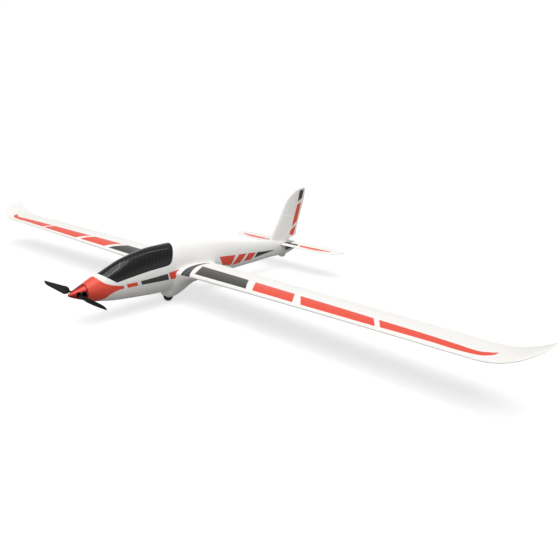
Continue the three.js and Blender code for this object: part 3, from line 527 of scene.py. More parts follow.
def build_body():
    skin = loft("skin", body_rings(SKIN_STATIONS, 0, BODY_POINTS))
    inner = loft("inner", body_rings(np.arange(56, 594, 4.0), CANOPY_WALL, BODY_POINTS))
    canopy = copy(skin, "canopy_shell")
    cut(canopy, inner)
    boolean(canopy, "INTERSECT", side_prism("hatch", canopy_outline(GAP), -70, 70))
    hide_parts("canopy")

    centre = loft("centre", wing_rings(np.linspace(-PANEL_ROOT_X, PANEL_ROOT_X, 61), CENTRE_STEPS))
    fin = loft("fin", fin_rings(FIN_HEIGHTS))
    cut(fin, side_prism("rudder_room", rudder_outline(HINGE_CLEARANCE), -30, 30))
    hull = join(skin, centre, fin)
    soften(hull, wing_root, *WING_FILLET)
    soften(hull, fin_root, *FIN_FILLET)
    reach = WHEEL_RADIUS + WHEEL_CLEARANCE
    cavity = loft("cavity", body_rings(CAVITY_STATIONS, FOAM_WALL, CAVITY_POINTS))
    slot_z = (STABILIZER_Z - TAIL_SLOT_HALF, STABILIZER_Z + TAIL_SLOT_HALF)
    slot = box("slot", (-300, 300), (833, 1000), slot_z)
    below = side_prism("below", [(878, 0), (878, -4.5), (884, -5.5), (940, -31.6), (960, 0)], -40, 40)
    recess = box("recess", (1.2, 30), (862, 906), (-25, -3))
    well = box("well", (-WELL_HALF_WIDTH, WELL_HALF_WIDTH), (WHEEL_Y - reach, WHEEL_Y + reach),
               (-120, WHEEL_Z + reach + 0.5))
    axle = rod("axle", (-AXLE_REACH, WHEEL_Y, WHEEL_Z), (AXLE_REACH, WHEEL_Y, WHEEL_Z), AXLE_HOLE)
    out = PANEL_ROOT_X + 5
    joiner = [rod("bore", joiner_point(0), joiner_point(side * out), JOINER_RADIUS + GAP) for side in (-1, 1)]
    elevator_rod = rod("channel", *ELEVATOR_CHANNEL)
    rudder_rod = rod("channel", *RUDDER_CHANNEL)
    hatch = side_prism("hatch", canopy_outline(0), -70, 70)
    cut(hull, cavity, hatch, well, axle, slot, below, recess, *joiner, elevator_rod, rudder_rod)
    other = copy(hull, "fuselage_shell_right")
    hull.name = "fuselage_shell_left"
    boolean(hull, "INTERSECT", box("side", (GAP / 2, 100), (0, 1000), (-120, 250)))
    boolean(other, "INTERSECT", box("side", (-100, -GAP / 2), (0, 1000), (-120, 250)))
    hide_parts("fuselage_left")
    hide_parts("fuselage_right")
    return hull, other, canopy


def build_rudder():
    fin = loft("rudder_panel", fin_rings(FIN_HEIGHTS))
    boolean(fin, "INTERSECT", side_prism("keep", rudder_outline(0), -30, 30))
    join(fin, rod("nose", rudder_hinge(RUDDER_FOOT), rudder_hinge(RUDDER_HORN),
                  rudder_radius(RUDDER_FOOT), rudder_radius(RUDDER_HORN)))
    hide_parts("rudder")
    return fin


def build_tail():
    stations = np.concatenate([np.linspace(0, 220, 45), np.linspace(222, STABILIZER_REACH, 24)])
    stations = np.concatenate([-stations[:0:-1], stations])
    tail = loft("stabilizer_panel", tail_rings(stations))
    elevator = copy(tail, "elevator_panel")
    reach = ELEVATOR_REACH + ELEVATOR_CLEARANCE
    front = ELEVATOR_HINGE_Y - ELEVATOR_RADII[0] - ELEVATOR_CLEARANCE
    cut(tail, box("room", (-reach, reach), (front, 960), (-20, 20)))
    behind = box("keep", (-ELEVATOR_REACH, ELEVATOR_REACH), (ELEVATOR_HINGE_Y, 960), (-20, 20))
    boolean(elevator, "INTERSECT", behind)
    hinge = (0, ELEVATOR_HINGE_Y, ELEVATOR_HINGE_Z)
    for side in (-1, 1):
        end = (side * ELEVATOR_REACH, ELEVATOR_HINGE_Y, ELEVATOR_HINGE_Z)
        join(elevator, rod("nose", hinge, end, *ELEVATOR_RADII))
    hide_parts("stabilizer")
    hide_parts("elevator")
    return tail, elevator


# ---- wing
def build_wing():
    start = PANEL_ROOT_X + GAP
    stations = np.concatenate([[start], np.linspace(78, 138, 21), np.linspace(145, 925, 90),
                               np.linspace(930, 1042, 57), np.linspace(1043, 1050, 15)])
    wing = loft("wing_panel_left", wing_rings(stations, WING_STEPS))
    pieces = []
    for name, span in (("flap", FLAP_X), ("aileron", AILERON_X)):
        surface = copy(wing, f"{name}_panel_left")
        boolean(surface, "INTERSECT", surface_room(span, 0))
        ends = [hinge_point(span[0] + 0.4), hinge_point(span[1] - 0.4)]
        join(surface, rod("nose", *ends, hinge_radius(span[0]), hinge_radius(span[1])))
        pieces.append(surface)
    screw_ends = [(WING_SCREW_X, JOINER_Y, z) for z in (-60, joiner_point(WING_SCREW_X)[2] + 1)]
    screw = rod("screw_hole", *screw_ends, WING_SCREW_HOLE)
    bore = rod("bore", joiner_point(60), joiner_point(JOINER_REACH + 2), JOINER_RADIUS + GAP)
    cut(wing, surface_room(FLAP_X, HINGE_CLEARANCE), surface_room(AILERON_X, HINGE_CLEARANCE),
        servo_pocket(FLAP_X, FLAP_SERVO_X), servo_pocket(AILERON_X, AILERON_SERVO_X), bore, screw)
    pieces.append(wing)
    both = []
    for piece in pieces:
        other = mirrored(piece, piece.name.replace("_left", "_right"))
        both += [piece, other]
        for one in (piece, other):
            kind, side = one.name.split("_")[0], one.name.split("_")[-1]
            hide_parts(f"{kind}_{side}")
    return both


# ---- propeller
def spun(piece, angle):
    """Turns a piece about the thrust line."""
    nose = Vector(NOSE * MM)
    turn = Matrix.Translation(nose) @ Matrix.Rotation(angle, 4, "Y") @ Matrix.Translation(-nose)
    piece.data.transform(turn)
    return piece


def spinner_radius(y):
    return SPINNER_RADIUS * (y / SPINNER_LENGTH) ** SPINNER_POWER


def build_spinner():
    outer_y = SPINNER_LENGTH * np.linspace(0, 1, 49) ** 1.5
    outer = [(spinner_radius(y), y) for y in outer_y[:-1]]
    outer += [(21.55, 43.6), (21.3, 44.0)]
    inner = [(spinner_radius(y) - SPINNER_WALL, y) for y in (44, 33, 20, 10)]
    spinner = turned("spinner_cone", outer + inner + [(0, 5)], closed=False)
    cut(spinner, box("blade_slot", (-40, 40), (19.5, 60), (-7, 7)))
    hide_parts("spinner")
    return spun(spinner, PROPELLER_TILT)


def blade_line(x):
    return BLADE_PIN_Y - BLADE_SET_FORWARD - BLADE_RAKE * (x - BLADE_PIN_X)


def build_blade(name, node, half_turn):
    lead, trail, thick = (through(BLADE_X, values) for values in (BLADE_LEAD, BLADE_TRAIL, BLADE_THICK))
    u, side = chord_walk(BLADE_STEPS)
    rings = []
    for x in np.concatenate([np.linspace(27, 140, 60), np.linspace(141, 146, 12)]):
        chord = lead(x) + trail(x)
        pitch = math.atan(PROPELLER_PITCH / (2 * math.pi * x))
        towards_nose = np.array([0, -math.sin(pitch), math.cos(pitch)])
        forward = np.array([0, -math.cos(pitch), -math.sin(pitch)])
        half = np.maximum(half_thickness(u, thick(x) / chord) * chord, 0.35)
        height = camber_height(u, BLADE_CAMBER) * chord + side * half
        line = np.array([x, blade_line(x), 0])
        rings.append(line + np.outer(lead(x) - u * chord, towards_nose) + np.outer(height, forward))
    blade = loft(name, rings)
    pin = (BLADE_PIN_X, BLADE_PIN_Y)
    eye = turned("eye", [(0, -3), (3.8, -3), (4.2, -2.6), (4.2, 2.6), (3.8, 3), (0, 3)], 48, closed=False,
                 place=lambda r, c, s, a: (pin[0] + r * c, pin[1] + r * s, a))
    shank = rod("shank", (*pin, 0), (SHANK_END, blade_line(SHANK_END), 0), 2.9, 2.3)
    join(blade, eye, shank)
    cut(blade, rod("bore", (*pin, -8), (*pin, 8), BLADE_BORE))
    if half_turn:
        spun(blade, math.pi)
    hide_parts(node)
    return spun(blade, PROPELLER_TILT)


# ---- wheel
def about_axle(r, c, s, a):
    return (a, WHEEL_Y + r * c, WHEEL_Z + r * s)


def both_sides(profile):
    return profile + [(radius, -along) for radius, along in reversed(profile)]


def build_wheel():
    crown = [(9.3, -4.6), (10.2, -5.2), (12, -5.7), (13.6, -5.9), (14.8, -5.4), (15.9, -4.3), (16.6, -2.9),
             (17, -1.2)]
    rim = [(1.9, -5.2), (3.7, -5.2), (4, -4.9), (4.3, -4.2), (6.8, -3.6), (8, -4.5), (9, -4.5)]
    tyre = turned("tyre_rubber", both_sides(crown), 120, place=about_axle)
    hub = turned("wheel_rim", both_sides(rim), 96, place=about_axle)
    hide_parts("wheel_tyre")
    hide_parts("wheel_hub")
    return tyre, hub


# ---- equipment
def node_box(node):
    """The low and the high corner of a CAD node, in millimetres from the spinner tip."""
    return (np.array(corner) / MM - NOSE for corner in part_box(node))


def rounded_box(name, node, width):
    """A CAD node's block with rounded edges."""
    low, high = node_box(node)
    piece = box(name, (low[0], high[0]), (low[1], high[1]), (low[2], high[2]))
    bevel = piece.modifiers.new("round", "BEVEL")
    bevel.width = width * MM
    bevel.segments = 4
    apply_modifiers(piece)
    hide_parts(node)
    return piece


def build_strap():
    """A flat webbing loop with rounded corners round the battery."""
    low, high = node_box("battery_strap")
    rings = []
    inset, half_thick, squareness = 0.8, 0.7, 0.14
    wide, tall = (high[0] - low[0]) / 2 - inset, (high[2] - low[2]) / 2 - inset
    middle = (high[2] + low[2]) / 2
    half = np.array([0, 1, 0]) * (high[1] - low[1]) / 2
    for turn in np.linspace(0, 2 * math.pi, 160, endpoint=False):
        c, s = math.cos(turn), math.sin(turn)
        x = np.sign(c) * abs(c) ** squareness * wide
        z = middle + np.sign(s) * abs(s) ** squareness * tall
        out = np.array([c, 0, s]) * half_thick
        centre = np.array([x, (low[1] + high[1]) / 2, z])
        rings.append([centre - out - half, centre + out - half, centre + out + half, centre - out + half])
    rings = np.asarray(rings)
    count = len(rings)
    faces = []
    for i in range(count):
        for j in range(4):
            a, b = i * 4 + j, i * 4 + (j + 1) % 4
            after = (i + 1) % count * 4
            faces.append([a, b, after + (j + 1) % 4, after + j])
    strap = make("strap_loop", rings.reshape(-1, 3), faces)
    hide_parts("battery_strap")
    return strap


# ---- material graphs
class Look:
    """A material whose pattern is laid out in millimetres from the spinner tip."""

    def __init__(self, name, color=(0.8, 0.8, 0.8), roughness=0.5, metallic=0.0):
        self.material = bpy.data.materials.new(name)
        self.material.use_nodes = True
        self.nodes = self.material.node_tree.nodes
        self.nodes.clear()
        self.shader = self.nodes.new("ShaderNodeBsdfPrincipled")
        output = self.nodes.new("ShaderNodeOutputMaterial")
        self.link(self.shader.outputs[0], output.inputs[0])
        self.coordinates = self.nodes.new("ShaderNodeTexCoord")
        spot = self.coordinates.outputs["Object"]
        self.place = self.vector("MULTIPLY_ADD", spot, (1000, 1000, 1000), -NOSE)
        self.x, self.y, self.z = self.node("SeparateXYZ", self.place).outputs
        self.out = self.math("ABSOLUTE", self.x)
        self.set("Base Color", color)
        self.set("Roughness", roughness)
        self.set("Metallic", metallic)

    def link(self, source, target):
        self.material.node_tree.links.new(source, target)

    def feed(self, socket, value):
        if isinstance(value, bpy.types.NodeSocket):
            self.link(value, socket)
        elif socket.type == "RGBA":
            socket.default_value = (*value[:3], 1.0)
        elif socket.type == "VECTOR":
            socket.default_value = tuple(float(v) for v in value)
        else:
            socket.default_value = value

    def set(self, name, value):
        self.feed(self.shader.inputs[name], value)

    def node(self, kind, *values, **settings):
        """A new shader node with its first inputs fed from the values."""
        node = self.nodes.new(f"ShaderNode{kind}")
        for setting, value in settings.items():
            setattr(node, setting, value)
        for socket, value in zip(node.inputs, values):
            self.feed(socket, value)
        return node

    def math(self, operation, *values, clamp=False):
        return self.node("Math", *values, operation=operation, use_clamp=clamp).outputs[0]

    def times(self, first, second, clamp=False):
        return self.math("MULTIPLY", first, second, clamp=clamp)

    def least(self, first, second):
        return self.math("MINIMUM", first, second)

    def less(self, first, second):
        return self.math("SUBTRACT", first, second)

    def vector(self, operation, *values):
        node = self.node("VectorMath", *values, operation=operation)
        return node.outputs[1 if operation == "DOT_PRODUCT" else 0]

    def mix(self, share, first, second):
        node = self.node("Mix", share, data_type="RGBA")
        self.feed(node.inputs[6], first)
        self.feed(node.inputs[7], second)
        return node.outputs[2]

    def noise(self, scale, detail=3.0, at=None):
        node = self.node("TexNoise", at or self.place)
        node.inputs["Scale"].default_value = scale
        node.inputs["Detail"].default_value = detail
        return node.outputs["Fac"]

    def cells(self, scale):
        """Distance to the edge of the nearest random cell."""
        node = self.node("TexVoronoi", self.place, feature="DISTANCE_TO_EDGE")
        node.inputs["Scale"].default_value = scale
        return node.outputs["Distance"]

    def ramp(self, value, low, high):
        """low to high as value goes from 0 to 1."""
        return self.math("MULTIPLY_ADD", value, high - low, low)

    def bump(self, height, depth, into=None):
        node = self.node("Bump")
        node.inputs["Strength"].default_value = 1.0
        node.inputs["Distance"].default_value = depth * MM
        self.feed(node.inputs["Height"], height)
        if into:
            self.feed(node.inputs["Normal"], into)
        return node.outputs[0]

    def polygon(self, across, up, corners):
        """1 inside a convex outline and 0 outside it."""
        spot = self.node("CombineXYZ", across, up, 1.0).outputs[0]
        area = sum(a[0] * b[1] - b[0] * a[1] for a, b in zip(corners, corners[1:] + corners[:1]))
        turn = 1 if area > 0 else -1
        inside = None
        for (u0, v0), (u1, v1) in zip(corners, corners[1:] + corners[:1]):
            length = math.hypot(u1 - u0, v1 - v0) * turn
            a, b = -(v1 - v0) / length, (u1 - u0) / length
            distance = self.vector("DOT_PRODUCT", spot, (a, b, -(a * u0 + b * v0)))
            inside = distance if inside is None else self.least(inside, distance)
        return self.edge(inside)

    def curve(self, at, points):
        """A smooth curve through (place, value) points."""
        places, values = [p for p, _ in points], [v for _, v in points]
        start, low = places[0], min(values)
        length, height = places[-1] - start, max(values) - low or 1.0
        node = self.node("FloatCurve")
        line = node.mapping.curves[0]
        for point, (p, v) in zip((line.points[0], line.points[-1]), (points[0], points[-1])):
            point.location = ((p - start) / length, (v - low) / height)
        for p, v in points[1:-1]:
            line.points.new((p - start) / length, (v - low) / height)
        node.mapping.update()
        share = self.math("MULTIPLY_ADD", at, 1 / length, -start / length, clamp=True)
        self.feed(node.inputs["Value"], share)
        return self.math("MULTIPLY_ADD", node.outputs[0], height, low)

    def band(self, across, up, lower, upper):
        """1 between two curves over the lower one's length."""
        below = self.less(up, self.curve(across, lower))
        inside = self.least(below, self.less(self.curve(across, upper), up))
        inside = self.least(inside, self.less(across, lower[0][0]))
        return self.edge(self.least(inside, self.less(lower[-1][0], across)))

    def edge(self, inside):
        """A mask from the distance inside its outline."""
        return self.math("MULTIPLY_ADD", inside, 1 / PAINT_EDGE, 0.5, clamp=True)

    def facing(self):
        """The X, Y and Z parts of the surface's own direction."""
        return self.node("SeparateXYZ", self.coordinates.outputs["Normal"]).outputs

    def either(self, *masks):
        total = masks[0]
        for mask in masks[1:]:
            total = self.math("MAXIMUM", total, mask)
        return total


FOAM_WHITES = ((0.88, 0.87, 0.84), (0.86, 0.85, 0.82))
BEAD_EDGE = (0.80, 0.79, 0.76)
PAINT_REDS = ((0.80, 0.085, 0.045), (0.74, 0.07, 0.04))
# dark paint tones, also used for painted shade in a tail recess and a painted shadow along the stabilizer
# root
DARK_PAINT_AND_SHADE_TONES = ((0.045, 0.043, 0.042), (0.06, 0.057, 0.054))
PAINT_ROUGHNESS = 0.38


def foam(name):
    """Moulded bead foam: faint bead outlines, a slightly uneven surface and tint."""
    look = Look(name, roughness=0.55)
    beads = look.cells(0.32)
    rim = look.times(beads, 5.0, clamp=True)
    uneven = look.noise(0.05, 4.0)
    tint = look.mix(uneven, *FOAM_WHITES)
    look.color = look.mix(look.less(1.0, rim), tint, BEAD_EDGE)
    look.rough = look.ramp(uneven, 0.45, 0.62)
    look.set("Normal", look.bump(look.noise(0.8, 2.0), 0.05, look.bump(rim, 0.05)))
    look.set("Specular IOR Level", 0.4)
    return look


def painted(look, red, dark):
    """Lays red and dark paint over the foam wherever their masks say so; the dark mask also carries painted
    shade in a tail recess and a painted shadow along the stabilizer root.
    """
    color = look.mix(red, look.color, look.mix(look.noise(0.03), *PAINT_REDS))
    color = look.mix(dark, color, look.mix(look.noise(0.08), *DARK_PAINT_AND_SHADE_TONES))
    look.set("Base Color", color)
    covered = look.math("MAXIMUM", red, dark)
    rough = look.math("ADD", look.times(look.less(1.0, covered), look.rough),
                      look.times(covered, PAINT_ROUGHNESS))
    look.set("Roughness", rough)
    return look.material


def body_look():
    look = foam("foam_body")
    y, z = look.y, look.z
    nose = look.band(
        y, z,
        [(40, -60), (70, -40), (81, -28), (94, -21), (103, -14.5), (114, -9), (128, -5.5), (143, -4)],
        [(40, 90), (69, 60), (75, 38), (82, 29), (91, 20.5), (104, 14), (120, 9), (143, 4)],
    )
    reds = [
        [(151, 7), (154, -4.5), (186, -4), (183, 6.5)],
        [(288, 12.5), (297, -9), (311, -10.5), (327, 15)],
        [(508, 17), (586, 8.5), (566, -22.5), (523, -13)],
        [(604, 7), (643, 3.5), (610, -23), (571, -24)],
        [(653, 2.5), (692, -1.5), (668, -23), (629, -21.5)],
        [(933, 136), (958, 144), (937, 75), (904, 57)],
        [(897, 45), (933, 60), (918, 25), (891, 28)],
    ]
    darks = [
        [(194, 7), (198, -4.5), (290, -8.5), (285, 10.5)],
        [(700, -2.5), (800, -11.5), (684, -20)],
        [(946, 188), (972, 190), (963, 158), (935, 147)],
    ]
    red = look.either(nose, *[look.polygon(y, z, corners) for corners in reds])
    dark = look.either(*[look.polygon(y, z, corners) for corners in darks])
    body_reach, wing_top = 48.0, 30.0
    on_body = look.times(facing_out(look), look.math("LESS_THAN", look.out, body_reach))
    low_down = look.math("LESS_THAN", z, wing_top)
    root_dark = look.times(wing_marks(look)[1], low_down)
    # painted shade: the inside of the side recess under the tail is coloured dark
    recess = look.polygon(y, z, [(862.3, -3.5), (906, -3.5), (906, -24.7), (862.3, -24.7)])
    recess = look.times(recess, look.math("GREATER_THAN", look.x, 0.8))
    dark = look.either(look.times(dark, on_body), root_dark, recess)
    return painted(look, look.times(red, on_body), dark)


def facing_out(look):
    """One on the outer skin and nothing on the walls inside the body."""
    away = look.times(look.facing()[0], look.math("SIGN", look.x))
    return look.math("GREATER_THAN", away, -0.3)


def facing_up(look):
    """One on the upper side and nothing underneath."""
    return look.math("MULTIPLY_ADD", look.facing()[2], 10.0, 0.0, clamp=True)


def wing_marks(look):
    """The red and the dark paint on the wing's upper side."""
    x, y = look.out, look.y
    top = facing_up(look)
    tip = look.band(
        x, y,
        [(690, 317), (833, 315.5), (900, 313), (930, 315), (950, 322), (962, 343)],
        [(690, 347), (796, 341), (889, 333), (923, 330), (944, 335), (962, 344)],
    )
    tip = look.least(tip, look.polygon(x, y, [(718, 316), (1000, 300), (1000, 420), (655, 410)]))
    first = look.polygon(x, y, [(334, 327), (471, 322), (445, 366), (303, 376)])
    second = look.polygon(x, y, [(497, 321), (705, 316), (683, 348), (465, 363)])
    patch = look.polygon(x, y, [(95, 333.5), (311, 327), (274, 379), (30, 398)])
    inner = look.less(x, look.curve(y, [(310, 106), (333, 105), (354, 97), (396, 73), (420, 60)]))
    patch = look.least(patch, look.math("MULTIPLY_ADD", inner, 2.0, 0.5, clamp=True))
    crescent = look.band(
        y, x,
        [(310, 66), (340, 57), (380, 49), (420, 42), (458, 37)],
        [(310, 103), (358, 76), (402, 57), (440, 44), (458, 38)],
    )
    dark = look.math("MAXIMUM", patch, crescent)
    return look.times(top, look.either(first, second, tip)), look.times(top, dark)


def wing_look():
    look = foam("foam_wing")
    return painted(look, *wing_marks(look))


def tail_look():
    look = foam("foam_tail")
    x, y = look.out, look.y
    top = facing_up(look)
    red = look.polygon(x, y, [(86, 849), (156, 849), (203, 863), (209, 873), (150, 871), (73, 868)])
    dark = look.polygon(x, y, [(5, 852), (73, 852), (64, 872), (5, 874)])
    # painted shadow: a thin dark strip along the stabilizer root beside the body, where the gap's shade falls
    dark = look.either(dark, look.polygon(x, y, [(6, 874), (6, 918), (12, 918), (26, 872)]))
    return painted(look, look.times(top, red), look.times(top, dark))


def canopy_look():
    """Glossy lacquer over a twill of carbon tows, with painted sheen on alternate tows and painted shade at
    each tow's edges.
    """
    look = Look("canopy_carbon", roughness=0.32)
    tow, radius, centre_z = 3.2, 62.0, -20.0
    above = look.math("ADD", look.z, -centre_z)
    around = look.times(look.math("ARCTAN2", look.x, above), radius)
    u = look.times(look.y, 1 / tow)
    v = look.times(around, 1 / tow)
    cell_u, cell_v = look.math("FLOOR", u), look.math("FLOOR", v)
    step = look.math("FLOORED_MODULO", look.math("ADD", cell_u, cell_v), 4.0)
    over = look.math("LESS_THAN", step, 1.5)
    wave_u, wave_v = (look.math("SINE", look.times(look.math("FRACT", at), math.pi)) for at in (u, v))
    height = look.math("ADD", look.times(over, wave_v),
                       look.times(look.less(1.0, over), wave_u))
    # painted sheen: alternate tows are lighter, standing in for carbon's direction-dependent highlight
    color = look.mix(over, (0.003, 0.003, 0.003), (0.011, 0.011, 0.0115))
    # painted shade: each tow is darker towards its edges, in the valleys of the weave
    look.set("Base Color", look.mix(height, (0.002, 0.002, 0.002), color))
    look.set("Normal", look.bump(height, 0.08))
    look.set("Specular IOR Level", 0.15)
    look.set("Coat Weight", 1.0)
    look.set("Coat IOR", 1.28)
    look.set("Coat Roughness", 0.03)
    return look.material


def spinner_look():
    """Turned and anodised metal with fine lathe lines."""
    look = Look("anodised_red", (0.48, 0.045, 0.036), 0.26, 0.85)
    lines = look.noise(1.0, 2.0, at=look.vector("MULTIPLY", look.place, (0.02, 2.5, 0.02)))
    look.set("Roughness", look.ramp(lines, 0.2, 0.34))
    look.set("Base Color", look.mix(lines, (0.52, 0.055, 0.045), (0.42, 0.036, 0.03)))
    look.set("Normal", look.bump(lines, 0.02))
    return look.material


def plain_look(name, first, second, roughness, grain, depth, metallic=0, stretch=(1, 1, 1), specular=0.5):
    """A solid material with some grain in its colour, gloss and surface."""
    look = Look(name, first, roughness, metallic)
    look.set("Specular IOR Level", specular)
    at = look.vector("MULTIPLY", look.place, stretch)
    grains = look.noise(grain, 4.0, at=at)
    look.set("Base Color", look.mix(grains, first, second))
    look.set("Roughness", look.ramp(grains, max(roughness - 0.08, 0.05), roughness + 0.1))
    look.set("Normal", look.bump(grains, depth))
    return look.material


def rubber_look():
    look = Look("tyre_rubber_black", (0.02, 0.02, 0.02), 0.8)
    height, aft = look.less(look.z, WHEEL_Z), look.less(look.y, WHEEL_Y)
    around, treads = look.math("ARCTAN2", height, aft), 48.0
    tread = look.math("SINE", look.times(around, treads))
    grains = look.noise(2.0)
    look.set("Base Color", look.mix(grains, (0.016, 0.016, 0.016), (0.035, 0.034, 0.033)))
    look.set("Roughness", look.ramp(grains, 0.7, 0.9))
    look.set("Normal", look.bump(tread, 0.12, look.bump(grains, 0.1)))
    return look.material


def weave_look(name, first, second, pitch, roughness):
    """Threads that cross along X and Y."""
    look = Look(name, first, roughness)
    waves = [look.math("SINE", look.times(axis, 2 * math.pi / pitch)) for axis in (look.x, look.y)]
    weave = look.math("MULTIPLY_ADD", look.times(*waves), 0.5, 0.5)
    look.set("Base Color", look.mix(weave, first, second))
    look.set("Normal", look.bump(weave, 0.15))
    look.set("Roughness", look.ramp(weave, roughness - 0.1, roughness))
    return look.material


def plywood_look():
    look = Look("birch_plywood", roughness=0.7)
    rings = look.noise(0.35, 5.0, at=look.vector("MULTIPLY", look.place, (1.0, 0.12, 1.0)))
    ply = 1.0
    plies = look.math("SINE", look.times(look.z, 2 * math.pi / ply))
    color = look.mix(rings, (0.62, 0.42, 0.22), (0.42, 0.26, 0.12))
    look.set("Base Color", look.mix(look.math("MULTIPLY_ADD", plies, 0.15, 0.15), color, (0.3, 0.18, 0.08)))
    look.set("Normal", look.bump(rings, 0.08))
    return look.material


def battery_look():
    """Heat-shrink sleeve with a pale blank panel."""
    look = Look("battery_sleeve", roughness=0.3)
    low, high = node_box("battery")
    front, back, half = low[1] + 22, high[1] - 14, 11
    panel = look.polygon(look.y, look.x, [(front, -half), (back, -half), (back, half), (front, half)])
    wrinkles = look.noise(0.12, 5.0)
    sleeve = look.mix(wrinkles, (0.02, 0.07, 0.25), (0.03, 0.10, 0.34))
    look.set("Base Color", look.mix(panel, sleeve, (0.75, 0.76, 0.78)))
    look.set("Roughness", look.ramp(wrinkles, 0.22, 0.42))
    look.set("Normal", look.bump(wrinkles, 0.5))
    return look.material


# ---- assembly
def finish_piece(piece, skin, body=None):
    """Gives a piece its material and the body it moves with; its slot name is looked up but not applied."""
    material, slot = SKINS[skin]
    piece.data.materials.clear()
    piece.data.materials.append(material)
    for polygon in piece.data.polygons:
        polygon.material_index = 0
    piece.data.shade_smooth()
    piece.data.set_sharp_from_angle(angle=math.radians(SHARP_ANGLE))
    if body:
        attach(piece, body)


def finish_node(name, skin, edge=0.25):
    """Gives a CAD node its finish and slightly rounded edges."""
    node = frame["nodes"][name]
    finish_piece(node, skin)
    if edge:
        bevel = node.modifiers.new("soft_edge", "BEVEL")
        bevel.width = edge * MM
        bevel.segments = 2
        bevel.limit_method = "ANGLE"
        bevel.angle_limit = math.radians(40)
        bevel.harden_normals = True


# Each skin's material and material slot
SKINS = {
    "body": (body_look(), "foam_white"),
    "wing": (wing_look(), "foam_white"),
    "tail": (tail_look(), "foam_white"),
    "canopy": (canopy_look(), "canopy_gloss"),
    "spinner": (spinner_look(), "spinner_red"),
    "rubber": (rubber_look(), "tyre"),
    "plywood": (plywood_look(), "plywood"),
    "battery": (battery_look(), "battery_wrap"),
    "tube": (weave_look("carbon_tube", (0.015, 0.015, 0.016), (0.05, 0.05, 0.052), 3, 0.4), "carbon_tube"),
    "strap": (weave_look("strap_web", (0.03, 0.03, 0.03), (0.09, 0.09, 0.09), 1.4, 0.9), "strap_fabric"),
}
PLAIN_SLOTS = {"blade_nylon": "black_plastic", "pale_plastic": "foam_white", "anodised_black": "aluminium"}
for name, *numbers in (
    ("blade_nylon", (0.004, 0.004, 0.004), (0.009, 0.009, 0.009), 0.42, 0.9, 0.03, 0, (1, 1, 1), 0.15),
    ("black_plastic", (0.02, 0.02, 0.021), (0.035, 0.035, 0.036), 0.48, 1.2, 0.05),
    ("linkage_plastic", (0.03, 0.03, 0.032), (0.05, 0.05, 0.05), 0.5, 1.5, 0.04),
    ("servo_case", (0.015, 0.06, 0.26), (0.025, 0.09, 0.34), 0.35, 0.6, 0.03),
    ("steel", (0.55, 0.55, 0.56), (0.68, 0.68, 0.69), 0.28, 1.5, 0.01, 1, (1, 0.2, 1)),
    ("aluminium", (0.72, 0.72, 0.74), (0.82, 0.82, 0.84), 0.32, 1.2, 0.01, 1, (1, 3, 1)),
    ("pale_plastic", (0.55, 0.55, 0.54), (0.62, 0.62, 0.61), 0.45, 1, 0.04),
    ("anodised_black", (0.02, 0.02, 0.022), (0.035, 0.035, 0.037), 0.35, 1.2, 0.01, 0.8),
):
    SKINS[name] = (plain_look(name, *numbers), PLAIN_SLOTS.get(name, name))

left_hull, right_hull, canopy = build_body()
finish_piece(left_hull, "body", "airframe")
finish_piece(right_hull, "body", "airframe")
finish_piece(canopy, "canopy", "canopy_hatch")
finish_piece(build_rudder(), "body", "rudder_surface")
stabilizer, elevator = build_tail()
finish_piece(stabilizer, "tail", "airframe")
finish_piece(elevator, "tail", "elevator_surface")
for panel in build_wing():
    kind, side = panel.name.split("_")[0], panel.name.split("_")[-1]
    carrier = "airframe" if kind == "wing" else f"{kind}_{side}_surface"
    finish_piece(panel, "wing", carrier)
finish_piece(build_spinner(), "spinner", "propeller_unit")
for side, half_turn in (("left", False), ("right", True)):
    blade = build_blade(f"blade_moulding_{side}", f"blade_{side}", half_turn)
    finish_piece(blade, "blade_nylon", f"{side}_blade")
tyre, rim = build_wheel()
finish_piece(tyre, "rubber", "belly_wheel")
finish_piece(rim, "black_plastic", "belly_wheel")
finish_piece(rounded_box("battery_pack", "battery", 3.0), "battery", "airframe")
for node, edge in (("speed_controller", 1.5), ("receiver", 1.0)):
    finish_piece(rounded_box(f"{node}_case", node, edge), "black_plastic", "airframe")
finish_piece(build_strap(), "strap", "airframe")

finish_node("tail_skid", "pale_plastic", 0.6)
for node in ("firewall", "equipment_tray"):
    finish_node(node, "plywood")
for node in ("motor_bell", "motor_base"):
    finish_node(node, "aluminium")
finish_node("blade_hub", "anodised_black")
for node in ("blade_pin_left", "blade_pin_right", "propeller_nut", "motor_shaft", "canopy_magnet",
             "wheel_axle", "wing_screw_left", "wing_screw_right"):
    finish_node(node, "steel")
finish_node("wing_joiner_tube", "tube")
for node in frame["nodes"]:
    if node.endswith("_pushrod"):
        finish_node(node, "steel", 0)
    elif node.endswith("_horn") or node.endswith("_arm"):
        finish_node(node, "linkage_plastic", 0.15)
    elif "_servo" in node:
        finish_node(node, "servo_case", 0.4)


# ---- studio
def floor_look():
    look = Look("studio_floor", (0.4, 0.4, 0.4), 0.9)
    first, second = ((tone,) * 3 for tone in FLOOR_TONE)
    look.set("Base Color", look.mix(look.noise(0.002), first, second))
    look.set("Emission Color", (1.0, 1.0, 1.0))
    look.set("Emission Strength", FLOOR_GLOW)
    return look.material


def area_light(name, place, target, size, power):
    light = bpy.data.lights.new(name, "AREA")
    light.shape = "RECTANGLE"
    light.size, light.size_y = size
    light.energy = power
    lamp = add(name, light)
    lamp.location = place
    lamp.rotation_euler = (Vector(target) - Vector(place)).to_track_quat("-Z", "Y").to_euler()


